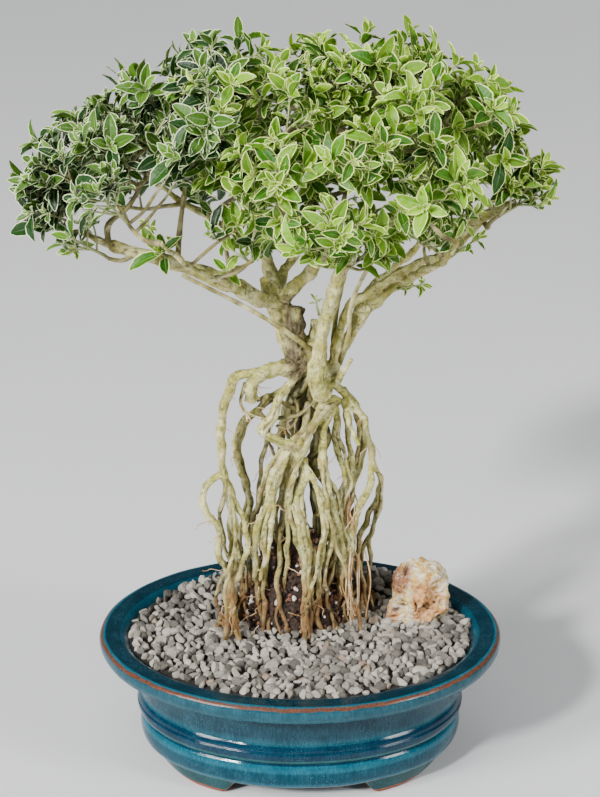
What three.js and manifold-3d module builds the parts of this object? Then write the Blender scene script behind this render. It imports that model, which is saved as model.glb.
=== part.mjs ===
// Serissa bonsai in its oval glazed pot: millimetres, +Z up, the photographed front faces -Y.
// While it is built, x = y = 0 is the pot's centre and z = 0 the level its four feet stand on.
import * as THREE from 'three';
import { mergeVertices } from 'three/addons/utils/BufferGeometryUtils.js';
import Module from 'manifold-3d';

const wasm = await Module();
wasm.setup();

// Driving sizes of the pot, soil and gravel
const GAP = 0.35;
const POT_DEPTH_DROP = 30; // every oval is 30 mm shorter front to back, in half-width terms
const POT_SIDES = 28;
const FLOOR_TOP = 18;
const FLOOR_BOTTOM = 11;
const SOIL_TOP = 78.4;
const GRAVEL_TOP = 84.5;
const DRAIN_X = 42;
const DRAIN_RADIUS = 8;
const SCREEN_SIDE = 32;
const SCREEN_THICK = 1.2;
const ROOT_END = 66; // how deep the roots reach below the gravel
const ROOT_CLEARANCE = 0.6; // the holes they stand in are this much larger all round
const FOOT_START = 8; // degrees along the oval, from the end of its long axis
const FOOT_END = 68;
const FOOT_RISE = [13, 9.5, 5.5, 2, 0, 0, 13]; // height of a foot's underside, step by step
const ROCK_CENTRE = [76, 23, 100];
const ROCK_HALF_SIZE = [21, 15, 22];

// Driving sizes of the crown and its leaves
const CROWN_X = -5;
const CROWN_Y = 6;
const CROWN_HALF_WIDTH = 152;
const CROWN_HALF_DEPTH = 114;
const CROWN_TOP = 470;
const CROWN_DROP = 78; // how far the rim of the umbrella lies under its top
const STOREY = 38;
const SPRAY_COUNT = 29;
const CROWN_SEED = 71;
const STEM_LENGTH = 30;
const LEAF_LENGTH = 23;
const LEAF_WIDTH_SHARE = 0.44;
const LEAF_THICK = 0.7;
const SHORTEST_LEAF = 5;
const DARK_BOUNDARY_X = -45; // shoots left of this line carry the dark blue-green leaves
const GOLDEN_ANGLE = 2.399963;
const SHOOT_SPACING = 36; // no shoot of the spiral stands closer than this to a placed one
const TWIG_RADII = [1.6, 1.05];
const LOWEST_TWIG = 315;

// Shoots at both ends of the crown and on its right shoulder, as photographed: tip and lean
const END_SHOOTS = [
  [[-153, -3, 400], [-0.7, -0.1, 0.6]],
  [[143, -2, 390], [0.8, -0.1, 0.6]],
  [[-134, -26, 368], [-0.5, -0.5, 0.5]],
  [[-131, 14, 428], [-0.6, 0.1, 0.8]],
  [[124, 8, 426], [0.6, 0, 0.8]],
  [[95, 4, 450], [0.4, 0, 0.9]],
];

// Colours
const GLAZE = 0x2f6f80;
const SCREEN_BLACK = 0x1c1c1c;
const SOIL_BROWN = 0x3a2a22;
const GRAVEL_GREY = 0x8d857c;
const ROCK_CREAM = 0xd9c9a0;
const BARK = 0xb5a27c;
const LEAF_DARK = 0x2f5d3a;
const LEAF_LIME = 0x86b02c;

// The wood, as routes chosen by hand: start radius, end radius, then points
const BRANCHES = {
  trunkFoot: [8.2, 6.5, [8, 22, 284], [10, 21, 267], [13, 18, 254], [14, 15, 240]],
  barkStub: [6.5, 3.8, [9, 20, 268], [0, 19, 284], [-2, 22, 295], [1, 24, 304]],
  trunkLeft: [5.6, 3.4, [11, 22, 264], [2, 24, 275], [-4, 27, 290], [-11, 30, 305], [-20, 36, 328],
    [-27, 40, 350], [-29, 42, 378], [-28, 46, 402]],
  forkRight: [4.6, 2, [-12, 30, 306], [7, 16, 332], [16, 6, 348], [20, -8, 362], [14, -36, 376],
    [0, -62, 388]],
  forkBack: [3.7, 1.9, [-14, 32, 314], [-8, 50, 321], [4, 72, 334], [10, 96, 352]],
  trunkRight: [6, 2.4, [11, 20, 266], [15, 17, 295], [20, 12, 320], [27, 8, 343], [34, 5, 362],
    [40, 4, 380], [38, 6, 394], [44, 10, 420]],
  limbLeft: [4.8, 2.2, [-10, 29, 305], [-22, 22, 309], [-37, 12, 323], [-66, 2, 339],
    [-89, -2, 347], [-111, -2, 354], [-132, 2, 362]],
  limbLeftLow: [1.9, 1.2, [9, 18, 276], [-10, 6, 296], [-30, -2, 313], [-56, -8, 330], [-71, -8, 338]],
  limbBackLeft: [3.2, 1.8, [-22, 37, 333], [-48, 58, 345], [-78, 74, 358], [-100, 80, 374]],
  limbFrontLeft: [2.6, 1.6, [-37, 12, 323], [-50, -14, 338], [-66, -42, 358], [-80, -60, 378]],
  limbFrontRight: [2.6, 1.6, [63, 20, 322], [72, -8, 340], [84, -38, 358], [90, -60, 378]],
  limbRight: [5.3, 2.1, [17, 20, 256], [23, 26, 267], [31, 30, 282], [50, 24, 310], [76, 18, 330],
    [91, 18, 340], [108, 13, 362], [119, 6, 372]],
  limbRightBack: [3.2, 1.8, [33, 31, 285], [39, 44, 301], [53, 58, 311], [72, 74, 322], [96, 88, 346]],
  stemThin: [1.7, 1.2, [20, 22, 259], [21, 26, 281], [23, 28, 301], [26, 32, 318], [22, 50, 345]],
  stemThinRight: [1.7, 1.2, [25, 25, 265], [30, 15, 288], [31, 10, 309], [38, -6, 336], [48, -20, 360]],
  uprightLeft: [1.9, 1.3, [-74, 1, 342], [-72, 0, 366], [-68, 3, 394]],
  uprightFarLeft: [1.9, 1.3, [-115, -2, 355], [-115, 0, 367], [-103, 1, 378], [-92, 3, 396]],
  uprightInner: [1.7, 1.2, [-41, 10, 325], [-45, 8, 350], [-46, 8, 376]],
};

const ROOTS = {
  loopArm: [5.6, 3, [5, 20, 268], [-9, 16, 268], [-21, 12, 265], [-30, 9, 258], [-32, 8, 247]],
  mossyLoop: [3.3, 2.8, [-22, 12, 265], [-34, 6, 267], [-41, 3, 264], [-45, 0, 255], [-49, -2, 236],
    [-49, -3, 216], [-48, -3, 199]],
  loopOuter: [2.6, 2.4, [-48, -3, 203], [-57, -6, 197], [-62, -8, 188], [-57, -8, 174], [-51, -5, 163],
    [-52, -2, 146], [-46, 4, 126]],
  loopMiddle: [2.6, 2.9, [-48, -3, 203], [-44, 0, 183], [-44, 4, 160], [-43, 8, 130], [-46, 11, 103],
    [-45, 12, 66]],
  loopInner: [2.1, 2, [-46, -1, 194], [-38, -4, 176], [-33, -8, 153], [-39, -9, 136], [-43, -6, 110],
    [-40, 0, 84], [-40, 2, 66]],
  leftThin: [2.5, 2, [2, 19, 262], [-12, 20, 249], [-26, 18, 238], [-37, 14, 229], [-41, 13, 210],
    [-36, 14, 190], [-32, 18, 176], [-34, 28, 150], [-33, 33, 105], [-33, 33, 66]],
  innerTwist: [3.2, 2.8, [0, 17, 262], [-11, 9, 253], [-16, 4, 242], [-24, 0, 231], [-14, -2, 225],
    [-4, -1, 222]],
  centreBack: [2.5, 2.2, [-4, -1, 223], [-12, 1, 215], [-20, 5, 202], [-23, 12, 176], [-25, 18, 138],
    [-22, 22, 100], [-22, 22, 66]],
  centreFront: [2.5, 2.3, [-4, -2, 224], [-11, -6, 210], [-18, -8, 190], [-28, -7, 163],
    [-29, -3, 136], [-27, 4, 110], [-24, 12, 84], [-24, 13, 66]],
  centreSplit: [2, 1.7, [-17, -8, 190], [-18, -9, 167], [-20, -8, 150], [-26, -4, 126]],
  centreStraight: [2.2, 2, [-4, -1, 222], [-8, 0, 199], [-8, -1, 150], [-11, 6, 100], [-12, 8, 66]],
  diagonal: [3.8, 3.2, [20, 16, 248], [12, 9, 236], [4, 4, 227], [-1, 0, 215], [3, -2, 206]],
  rightFront: [3.7, 3.2, [2, -1, 212], [3, -4, 202], [-2, -7, 188], [-1, -9, 172], [3, -8, 150],
    [4, -4, 120], [2, 4, 94], [1, 6, 66]],
  rightKnee: [3.9, 2.6, [24, 18, 246], [16, 10, 231], [14, 4, 215], [17, -1, 193], [22, -1, 172],
    [27, 3, 143], [26, 10, 112], [23, 16, 84], [23, 16, 66]],
  rightTwist: [2.5, 2.3, [3, -3, 209], [11, -6, 192], [16, -10, 164], [13, -9, 144], [12, -5, 122],
    [13, 4, 102], [17, 10, 84], [17, 10, 66]],
  bridge: [2.3, 2, [23, 19, 238], [23, 16, 212], [28, 12, 197], [26, 8, 180], [18, 6, 164],
    [13, 2, 144]],
  bridgeOuter: [2.3, 2, [29, 23, 240], [31, 24, 212], [33, 22, 196], [30, 20, 176], [29, 20, 140],
    [32, 22, 100], [32, 22, 66]],
  brokenStub: [2.9, 1.1, [27, 23, 242], [32, 14, 228], [37, 8, 216]],
  rightArm: [3.8, 2.8, [14, 18, 261], [24, 22, 251], [32, 22, 240], [40, 22, 229], [44, 20, 213],
    [47, 18, 195]],
  rightArmFront: [2.7, 3.2, [46, 18, 200], [44, 14, 184], [35, 7, 164], [33, 3, 143], [28, 5, 122],
    [24, 13, 96], [26, 18, 66]],
  rightArmBack: [2.6, 2.3, [47, 18, 200], [52, 23, 181], [45, 27, 158], [39, 31, 138], [38, 35, 112],
    [40, 37, 66]],
  backLeft: [3.4, 2.3, [5, 24, 264], [-2, 36, 246], [-10, 44, 220], [-12, 47, 180], [-10, 46, 140],
    [-16, 43, 66]],
  backRight: [3.4, 2.4, [14, 24, 262], [18, 38, 244], [13, 48, 216], [8, 47, 180], [12, 45, 140],
    [6, 46, 66]],
  backOuter: [3, 2.2, [27, 24, 248], [36, 34, 230], [41, 42, 203], [34, 46, 166], [26, 45, 120],
    [23, 45, 66]],
};

// The same row of numbers every time it is asked for with the same seed
function seededRandom(seed) {
  let state = seed;
  return () => {
    state = (state + 0x6d2b79f5) | 0;
    let t = Math.imul(state ^ (state >>> 15), 1 | state);
    t = (t + Math.imul(t ^ (t >>> 7), 61 | t)) ^ t;
    return ((t ^ (t >>> 14)) >>> 0) / 4294967296;
  };
}

function solid(geometry) {
  const bare = geometry.clone();
  bare.deleteAttribute('normal');
  bare.deleteAttribute('uv');
  const merged = mergeVertices(bare, 1e-4);
  const vertProperties = Float32Array.from(merged.attributes.position.array);
  const triVerts = Uint32Array.from(merged.index.array);
  return new wasm.Manifold(new wasm.Mesh({ numProp: 3, vertProperties, triVerts }));
}

function geometryOf(body) {
  const mesh = body.getMesh();
  const geometry = new THREE.BufferGeometry();
  geometry.setAttribute('position', new THREE.BufferAttribute(mesh.vertProperties, 3));
  geometry.setIndex(new THREE.BufferAttribute(mesh.triVerts, 1));
  geometry.computeVertexNormals();
  return geometry;
}

const joined = (bodies) => bodies.reduce((whole, next) => whole.add(next));

// A cut can leave a loose crumb: only the largest piece is kept
function largestPiece(body) {
  return body.decompose().sort((a, b) => b.volume() - a.volume())[0];
}

function sidesFor(radius) {
  if (radius > 5) return 6;
  return radius > 3 ? 5 : 4;
}

// A closed cylinder bent along a smooth curve, thinning from start to end
function limb(points, startRadius, endRadius, sides = sidesFor(startRadius)) {
  const steps = points.length - 1;
  const curve = new THREE.CatmullRomCurve3(points.map((p) => new THREE.Vector3(...p)));
  const frames = curve.computeFrenetFrames(steps, false);
  const tube = new THREE.CylinderGeometry(1, 1, 1, sides, steps);
  const place = tube.attributes.position;
  for (let i = 0; i < place.count; i += 1) {
    const step = Math.round((0.5 - place.getY(i)) * steps);
    const radius = THREE.MathUtils.lerp(startRadius, endRadius, step / steps);
    const spot = curve.getPointAt(step / steps);
    spot.addScaledVector(frames.normals[step], place.getX(i) * radius);
    spot.addScaledVector(frames.binormals[step], place.getZ(i) * radius);
    place.setXYZ(i, spot.x, spot.y, spot.z);
  }
  return solid(tube);
}

// An oval solid of revolution: the half-width comes from the outline and the depth follows it
function ovalLathe(outline, sides, halfDepth) {
  const lathe = new THREE.LatheGeometry(outline.map(([r, z]) => new THREE.Vector2(r, z)), sides);
  lathe.rotateX(Math.PI / 2);
  const place = lathe.attributes.position;
  for (let i = 0; i < place.count; i += 1) {
    const radius = Math.hypot(place.getX(i), place.getY(i));
    if (radius > 0) place.setY(i, (place.getY(i) * halfDepth(radius)) / radius);
  }
  return lathe;
}

const potHalfDepth = (radius) => (radius > 2 * POT_DEPTH_DROP ? radius - POT_DEPTH_DROP : radius / 2);

// One bracket foot along the oval: its underside sweeps up to both ends and is flat in between
function potFoot() {
  const along = FOOT_RISE.length - 1;
  const box = new THREE.BoxGeometry(1, 1, 1, along, 1, 1);
  const place = box.attributes.position;
  for (let i = 0; i < place.count; i += 1) {
    const share = place.getX(i) + 0.5;
    const angle = THREE.MathUtils.degToRad(THREE.MathUtils.lerp(FOOT_START, FOOT_END, share));
    const isTop = place.getZ(i) > 0;
    const outer = isTop ? 101 : 97;
    const radius = place.getY(i) > 0 ? outer : outer - 19;
    const height = isTop ? 14 : FOOT_RISE[Math.round(share * along)];
    place.setXYZ(i, radius * Math.cos(angle), -(radius - POT_DEPTH_DROP) * Math.sin(angle), height);
  }
  return solid(box);
}

function potBody() {
  const outline = [
    [0, FLOOR_BOTTOM], [98, FLOOR_BOTTOM], [104, 15], [105, 30], [103.6, 31.5], [106.5, 33.5],
    [107, 45], [105.8, 46], [106, 67], [127, 76.5], [130, 79], [130, 86], [128, 89], [116, 88],
    [103, 73], [98, 24], [92, FLOOR_TOP], [0, FLOOR_TOP],
  ];
  return solid(ovalLathe(outline, POT_SIDES, potHalfDepth));
}

function upright(radius, bottom, top, sides, x, y) {
  const post = new THREE.CylinderGeometry(radius, radius, top - bottom, sides);
  post.rotateX(Math.PI / 2);
  post.translate(x, y, (top + bottom) / 2);
  return solid(post);
}

function pot() {
  const rightFeet = potFoot().add(potFoot().mirror([0, 1, 0]));
  const drains = [-DRAIN_X, DRAIN_X].map((x) => upright(DRAIN_RADIUS, 0, FLOOR_TOP + 5, 12, x, 0));
  return joined([potBody(), rightFeet, rightFeet.mirror([1, 0, 0])]).subtract(joined(drains));
}

// A plastic mesh that keeps the soil in over one drainage hole
function drainScreen(x) {
  const block = (width, height, i, j) => {
    const pitch = SCREEN_SIDE / 3;
    return solid(new THREE.BoxGeometry(width, width, height).translate(x + i * pitch, j * pitch, 0));
  };
  const cells = [-0.7, 0.7].flatMap((i) => [-0.7, 0.7].map((j) => block(11, 3 * SCREEN_THICK, i, j)));
  const plate = block(SCREEN_SIDE, SCREEN_THICK, 0, 0).subtract(joined(cells));
  return plate.translate([0, 0, FLOOR_TOP + GAP + SCREEN_THICK / 2]);
}

// All the roots as one body; extra is the clearance of the holes they stand in
function roots(extra) {
  const bodies = Object.values(ROOTS).map(([start, end, ...points]) => {
    const stretched = points.map(([x, y, z]) => [x, y, z === ROOT_END ? z - extra : z]);
    return limb(stretched, start + extra, end + extra, sidesFor(start));
  });
  return joined(bodies);
}

// Old soil still held between the roots, above the bed that fills the pot
function soil(rootHoles) {
  const bed = solid(ovalLathe([
    [0, FLOOR_TOP + GAP], [91.5, FLOOR_TOP + GAP], [97.5, 24.3], [102.5, 73.2], [106.9, SOIL_TOP],
    [0, SOIL_TOP],
  ], POT_SIDES, potHalfDepth));
  const recess = new THREE.BoxGeometry(SCREEN_SIDE + 2, SCREEN_SIDE + 2, 2 * SCREEN_THICK + 2);
  const recesses = [-DRAIN_X, DRAIN_X].map((x) => solid(recess.clone().translate(x, 0, FLOOR_TOP)));
  const whole = bed.add(soilCore(0)).subtract(joined(recesses)).subtract(rootHoles);
  return largestPiece(whole);
}

function soilCore(extra) {
  const core = ovalLathe([
    [0, SOIL_TOP - 10], [31 + extra, SOIL_TOP - 10], [32 + extra, 92], [27 + extra, 115],
    [20 + extra, 140], [0, 165 + extra],
  ], 10, (radius) => radius * 0.52);
  return solid(core.translate(-3, 15, 0));
}

// Height of the gravel: level in front, heaped behind the roots, with stony bumps
function gravelHeight(x, y) {
  const heapRight = 17 * Math.exp(-(((x - 30) / 40) ** 2) - ((y - 54) / 20) ** 2);
  const heapLeft = 9 * Math.exp(-(((x + 45) / 32) ** 2) - ((y - 52) / 20) ** 2);
  const bumps = 1.1 * Math.sin(x * 0.71 + y * 0.23) * Math.cos(y * 0.83 - x * 0.31);
  return GRAVEL_TOP + heapRight + heapLeft + bumps;
}

function gravel(rootHoles, rockHole) {
  const outline = [[0, SOIL_TOP + GAP], [107, SOIL_TOP + GAP], [112, GRAVEL_TOP]];
  for (let ring = 7; ring >= 0; ring -= 1) outline.push([ring * 14.5, GRAVEL_TOP]);
  const layer = ovalLathe(outline, POT_SIDES, potHalfDepth);
  const place = layer.attributes.position;
  for (let i = 0; i < place.count; i += 1) {
    const isInner = place.getZ(i) > GRAVEL_TOP - 1 && Math.hypot(place.getX(i), place.getY(i)) < 105;
    if (isInner) place.setZ(i, gravelHeight(place.getX(i), place.getY(i)));
  }
  return largestPiece(solid(layer).subtract(rootHoles).subtract(soilCore(GAP)).subtract(rockHole));
}

// A weathered nodule, sunk a little into the gravel; extra is the clearance of its seat
function rock(extra) {
  const stone = new THREE.SphereGeometry(1, 12, 8);
  const place = stone.attributes.position;
  for (let i = 0; i < place.count; i += 1) {
    const [x, y, z] = [place.getX(i), place.getY(i), place.getZ(i)];
    const lump = 1 + 0.1 * Math.sin(3 * x + 2 * z) + 0.08 * Math.cos(4 * y - 3 * z + 1);
    const spot = [x, y, z].map((share, k) => ROCK_CENTRE[k] + share * lump * (ROCK_HALF_SIZE[k] + extra));
    place.setXYZ(i, ...spot);
  }
  return solid(stone);
}

// Where each leafy shoot ends: the placed ones, then an even spiral over the umbrella,
// with every third shoot a storey lower where the crown hangs down
function sprayPlan() {
  const random = seededRandom(CROWN_SEED);
  const plan = END_SHOOTS.map(([tip, lean]) => {
    const roll = random() * Math.PI;
    return { tip: new THREE.Vector3(...tip), lean: new THREE.Vector3(...lean).normalize(), roll, share: 1 };
  });
  for (let i = 0; i < SPRAY_COUNT; i += 1) {
    const share = Math.sqrt((i + 0.6) / SPRAY_COUNT);
    const angle = i * GOLDEN_ANGLE + 0.5 + 0.25 * (random() - 0.5);
    const [acrossShare, depthShare] = [share * Math.cos(angle), share * Math.sin(angle)];
    const isLow = i % 3 === 1 && share < 0.9 && (depthShare > 0 || Math.abs(acrossShare) < 0.3);
    const tip = new THREE.Vector3(
      CROWN_X + CROWN_HALF_WIDTH * acrossShare + 8 * (random() - 0.5),
      CROWN_Y + CROWN_HALF_DEPTH * depthShare + 8 * (random() - 0.5),
      CROWN_TOP - CROWN_DROP * share ** 2.8 + 8 * (random() - 0.5) - (isLow ? STOREY : 0),
    );
    tip.z += 0.03 * tip.x - 0.08 * tip.y;
    const spread = isLow ? 1 : 0.75;
    const lean = new THREE.Vector3(spread * acrossShare, spread * depthShare, 0.85).normalize();
    const roll = random() * Math.PI;
    const isApart = plan.slice(0, END_SHOOTS.length).every((end) => end.tip.distanceTo(tip) > SHOOT_SPACING);
    if (isApart) plan.push({ tip, lean, roll, share });
  }
  return plan;
}

// The foot of a shoot, where its green stem meets the woody twig
const footOf = (spray) => spray.tip.clone().addScaledVector(spray.lean, -STEM_LENGTH);

// Twigs reach from the nearest lower wood to each shoot, turning up into it at the end
function twigRoutes(plan) {
  const spots = (points) => {
    const bends = new THREE.CatmullRomCurve3(points).getSpacedPoints(points.length - 1);
    return bends.slice(1).flatMap((bend, i) => [bend.clone().lerp(bends[i], 0.5), bend]);
  };
  const vectors = ([, , ...points]) => points.map((p) => new THREE.Vector3(...p));
  const nodes = Object.values(BRANCHES).map(vectors).flatMap(spots).filter((spot) => spot.z > LOWEST_TWIG);
  return [...plan].sort((a, b) => a.share - b.share).map((spray) => {
    const foot = footOf(spray);
    const reach = (spot) => spot.distanceTo(foot) + 3 * Math.max(0, spot.z + 10 - foot.z);
    const start = nodes.reduce((best, spot) => (reach(spot) < reach(best) ? spot : best));
    const elbow = foot.clone().addScaledVector(spray.lean, -7);
    const middle = start.clone().lerp(elbow, 0.55).add(new THREE.Vector3(0, 0, -3));
    nodes.push(...spots([start, middle, elbow, foot]).slice(1, 5));
    return [start, middle, elbow, foot].map((spot) => spot.toArray());
  });
}

function wood(plan) {
  const limbs = Object.values(BRANCHES).map(([start, end, ...points]) => limb(points, start, end));
  const twigs = twigRoutes(plan).map((route) => limb(route, ...TWIG_RADII));
  return joined([roots(0), ...limbs, ...twigs]);
}

// A rosette's leaves stand in two crossed pairs, the upper pair steeper and shorter
function rosetteLeaves(tip, axis, roll, size, random) {
  const across = new THREE.Vector3(-axis.z, 0, axis.x).normalize();
  const other = new THREE.Vector3().crossVectors(axis, across);
  return [0, 1, 2, 3].map((k) => {
    const pair = k % 2;
    const turn = roll + k * (Math.PI / 2) + 0.4 * (random() - 0.5);
    const tilt = (pair ? 0.85 : 1.3) + 0.35 * (random() - 0.5);
    const length = size * (pair ? 0.86 : 1) * (0.88 + 0.24 * random());
    const outward = across.clone().multiplyScalar(Math.cos(turn)).addScaledVector(other, Math.sin(turn));
    const heading = axis.clone().multiplyScalar(Math.cos(tilt)).addScaledVector(outward, Math.sin(tilt));
    const upward = axis.clone().multiplyScalar(Math.sin(tilt)).addScaledVector(outward, -Math.cos(tilt));
    return { tip, heading, upward, length };
  });
}

// A leaf's three outer corners: one widest point, the tip and the other widest point
function leafCorners({ tip, heading, upward, length }) {
  const sideways = new THREE.Vector3().crossVectors(heading, upward);
  const half = (length * LEAF_WIDTH_SHARE) / 2;
  const middle = tip.clone().addScaledVector(heading, length * 0.46).addScaledVector(upward, half * 0.35);
  return [
    middle.clone().addScaledVector(sideways, half),
    tip.clone().addScaledVector(heading, length),
    middle.clone().addScaledVector(sideways, -half),
  ];
}

// A padded stand-in for one leaf, to test whether its place is free
function leafGuard(leaf) {
  const stretched = { ...leaf, length: leaf.length + 1.5 };
  const corners = leafCorners(stretched);
  const start = leaf.tip.clone().addScaledVector(leaf.heading, 1.6);
  const sides = [-1, 1].flatMap((face) => [start, ...corners].map((corner) => (
    corner.clone().addScaledVector(leaf.upward, face * (LEAF_THICK / 2 + GAP))
  )));
  const geometry = new THREE.BufferGeometry().setFromPoints(sides);
  geometry.setIndex([
    0, 2, 1, 0, 3, 2, 4, 5, 6, 4, 6, 7,
    0, 1, 5, 0, 5, 4, 1, 2, 6, 1, 6, 5, 2, 3, 7, 2, 7, 6, 3, 0, 4, 3, 4, 7,
  ]);
  return solid(geometry);
}

// Stem and leaves in one skin: the outline runs from leaf to leaf, its underside meets the stem
function rosetteBody({ foot, tip, axis, leaves, radius }) {
  const crown = tip.clone().addScaledVector(axis, 0.6);
  const outline = leaves.flatMap((leaf, k) => {
    const next = leaves[(k + 1) % leaves.length];
    const between = leaf.heading.clone().add(next.heading).normalize().multiplyScalar(1.9);
    return [...leafCorners(leaf), tip.clone().add(between)];
  });
  const faces = [0.5, -0.5].flatMap((share) => outline.map((corner, i) => {
    const upward = i % 4 === 3 ? axis : leaves[Math.floor(i / 4)].upward;
    return corner.clone().addScaledVector(upward, share * LEAF_THICK);
  }));
  const rings = [tip, foot].flatMap((end) => leaves.map((leaf) => {
    const inPlane = leaf.heading.clone().addScaledVector(axis, -leaf.heading.dot(axis)).normalize();
    const level = end === tip ? -0.6 : 0;
    return end.clone().addScaledVector(inPlane, radius).addScaledVector(axis, level);
  }));
  const count = outline.length;
  const [top, under, collar, base] = [1, 1 + count, 1 + 2 * count, 1 + 2 * count + leaves.length];
  const index = [];
  const quad = (a, b, c, d) => index.push(a, b, c, a, c, d);
  for (let i = 0; i < count; i += 1) {
    const j = (i + 1) % count;
    index.push(0, top + i, top + j);
    quad(under + i, under + j, top + j, top + i);
  }
  leaves.forEach((leaf, k) => {
    const next = (k + 1) % leaves.length;
    const first = under + 4 * k;
    const neck = under + ((4 * k + count - 1) % count);
    const fan = [neck, first, first + 1, first + 2, first + 3, collar + next];
    for (let i = 1; i < fan.length; i += 1) index.push(collar + k, fan[i], fan[i - 1]);
    quad(base + k, base + next, collar + next, collar + k);
  });
  quad(base, base + 3, base + 2, base + 1);
  const geometry = new THREE.BufferGeometry().setFromPoints([crown, ...faces, ...rings]);
  geometry.setIndex(index);
  return solid(geometry);
}

// The shoots of one spray: a main one, and two shorter ones from its sides
function sprayShoots(spray, index) {
  const random = seededRandom(100 + index);
  const foot = footOf(spray).addScaledVector(spray.lean, GAP);
  const shoots = [{ foot, tip: spray.tip, axis: spray.lean, radius: 1 }];
  const outward = new THREE.Vector3(-spray.lean.y, spray.lean.x, 0.2).normalize();
  for (const side of [-1, 1]) {
    const start = foot.clone().lerp(spray.tip, side < 0 ? 0.3 : 0.45);
    const axis = spray.lean.clone().multiplyScalar(0.55).addScaledVector(outward, side).normalize();
    const tip = start.clone().addScaledVector(axis, 17 + 5 * random());
    shoots.push({ foot: start, tip, axis, radius: 0.75 });
  }
  shoots.forEach((shoot, k) => {
    const size = LEAF_LENGTH * (k ? 0.88 : 1);
    shoot.leaves = rosetteLeaves(shoot.tip, shoot.axis, spray.roll + k, size, random);
  });
  return shoots;
}

// The sprays are filled one after another; a leaf with a neighbour in its way grows shorter
function sprays(plan, woodBody) {
  const stemOf = ({ foot, tip, radius }) => (
    limb([foot.toArray(), tip.toArray()], radius + GAP, radius + GAP)
  );
  const parts = plan.map(sprayShoots);
  const taken = parts.map((shoots) => joined(shoots.map(stemOf)));
  return parts.map((shoots, index) => {
    const others = [woodBody, ...taken.filter((body, other) => other !== index)];
    const filled = [];
    for (const shoot of shoots) {
      const besides = shoots.filter((other) => other !== shoot).map(stemOf);
      const obstacles = [...others, ...besides, ...filled];
      const isFree = (leaf) => obstacles.every((body) => leafGuard(leaf).intersect(body).volume() === 0);
      for (const leaf of shoot.leaves) {
        while (leaf.length > SHORTEST_LEAF && !isFree(leaf)) leaf.length *= 0.8;
      }
      filled.push(rosetteBody(shoot));
    }
    taken[index] = joined(filled);
    return taken[index];
  });
}

function named(name, body, color, roughness) {
  const mesh = new THREE.Mesh(geometryOf(body), new THREE.MeshStandardMaterial({ color, roughness }));
  mesh.name = name;
  return mesh;
}

const group = new THREE.Group();
const plan = sprayPlan();
const woodBody = wood(plan);
const rootHoles = roots(ROOT_CLEARANCE);
group.add(named('pot', pot(), GLAZE, 0.2));
group.add(named('drain_screen_left', drainScreen(-DRAIN_X), SCREEN_BLACK, 0.7));
group.add(named('drain_screen_right', drainScreen(DRAIN_X), SCREEN_BLACK, 0.7));
group.add(named('soil', soil(rootHoles), SOIL_BROWN, 0.95));
group.add(named('gravel', gravel(rootHoles, rock(GAP)), GRAVEL_GREY, 0.9));
group.add(named('rock', rock(0), ROCK_CREAM, 0.85));
group.add(named('tree_wood', woodBody, BARK, 0.9));
sprays(plan, woodBody).forEach((body, index) => {
  const isDark = plan[index].tip.x < DARK_BOUNDARY_X;
  const name = `spray_${isDark ? 'dark' : 'lime'}_${String(index + 1).padStart(2, '0')}`;
  group.add(named(name, body, isDark ? LEAF_DARK : LEAF_LIME, 0.5));
});

// The origin is the middle of the whole outline, at the level of the feet
const box = new THREE.Box3().setFromObject(group);
const centre = box.getCenter(new THREE.Vector3());
group.position.set(-centre.x, -centre.y, -box.min.z);

export default group;
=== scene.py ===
# %% [markdown]
# # Serissa bonsai in an oval glazed pot
# A serissa, or snowrose, is a small shrub with variegated leaves. This one was lifted so that its roots
# stand in the air like legs, and it grows in gravel in a shallow oval pot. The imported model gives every
# body's place in metres. This script gives each one its fine surface. Most shapes are worked out as whole
# numpy arrays in millimetres around the pot's centre, because that is how the pot, the roots and the crown
# were measured, and one helper turns them into metres.

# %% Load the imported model
import bmesh
import bpy
import numpy as np
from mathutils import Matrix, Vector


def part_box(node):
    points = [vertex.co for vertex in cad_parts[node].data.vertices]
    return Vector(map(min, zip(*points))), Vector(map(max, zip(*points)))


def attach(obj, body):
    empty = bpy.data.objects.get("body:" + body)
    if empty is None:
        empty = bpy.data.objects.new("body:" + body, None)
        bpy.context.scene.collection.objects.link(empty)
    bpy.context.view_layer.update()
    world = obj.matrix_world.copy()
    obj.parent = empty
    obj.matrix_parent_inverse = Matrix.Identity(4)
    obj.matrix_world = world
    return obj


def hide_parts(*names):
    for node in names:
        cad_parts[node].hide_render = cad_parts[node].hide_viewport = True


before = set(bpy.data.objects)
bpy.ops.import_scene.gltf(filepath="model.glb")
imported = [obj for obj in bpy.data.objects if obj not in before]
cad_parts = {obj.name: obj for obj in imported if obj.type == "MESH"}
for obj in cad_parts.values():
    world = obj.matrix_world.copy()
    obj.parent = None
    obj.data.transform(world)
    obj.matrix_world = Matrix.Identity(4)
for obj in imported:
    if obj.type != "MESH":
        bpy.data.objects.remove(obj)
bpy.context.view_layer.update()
pot_low, pot_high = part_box("pot")
POT_CENTRE = np.array([(pot_low.x + pot_high.x) * 500, (pot_low.y + pot_high.y) * 500, 0])
SPRAY_NODES = sorted(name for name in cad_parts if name.startswith("spray"))
print("pot centre in mm:", POT_CENTRE.round(2), "- leafy shoots:", len(SPRAY_NODES))

# %% [markdown]
# ## The view
# The camera stands 1.5 m away and looks 24.5 degrees down, which makes the pot's rim the ellipse that the
# photograph shows. A long lens keeps the tree's proportions. Two soft boxes at the left and right front give
# the paired highlights on the glaze, and a large one overhead lights the leaves. A soft sun keeps the plain,
# pale floor even all the way back.

# %% Camera, floor and lights
def lamp(name, kind, place, level, power):
    """A light at place (m) that faces the pot's middle line at a level (m)."""
    light = bpy.data.lights.new(name, kind)
    light.energy = power
    holder = bpy.data.objects.new(name, light)
    bpy.context.scene.collection.objects.link(holder)
    holder.location = place
    x, y, z = place
    holder.rotation_euler = (np.arctan2(np.hypot(x, y), z - level), 0, np.arctan2(x, -y))
    return light


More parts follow.
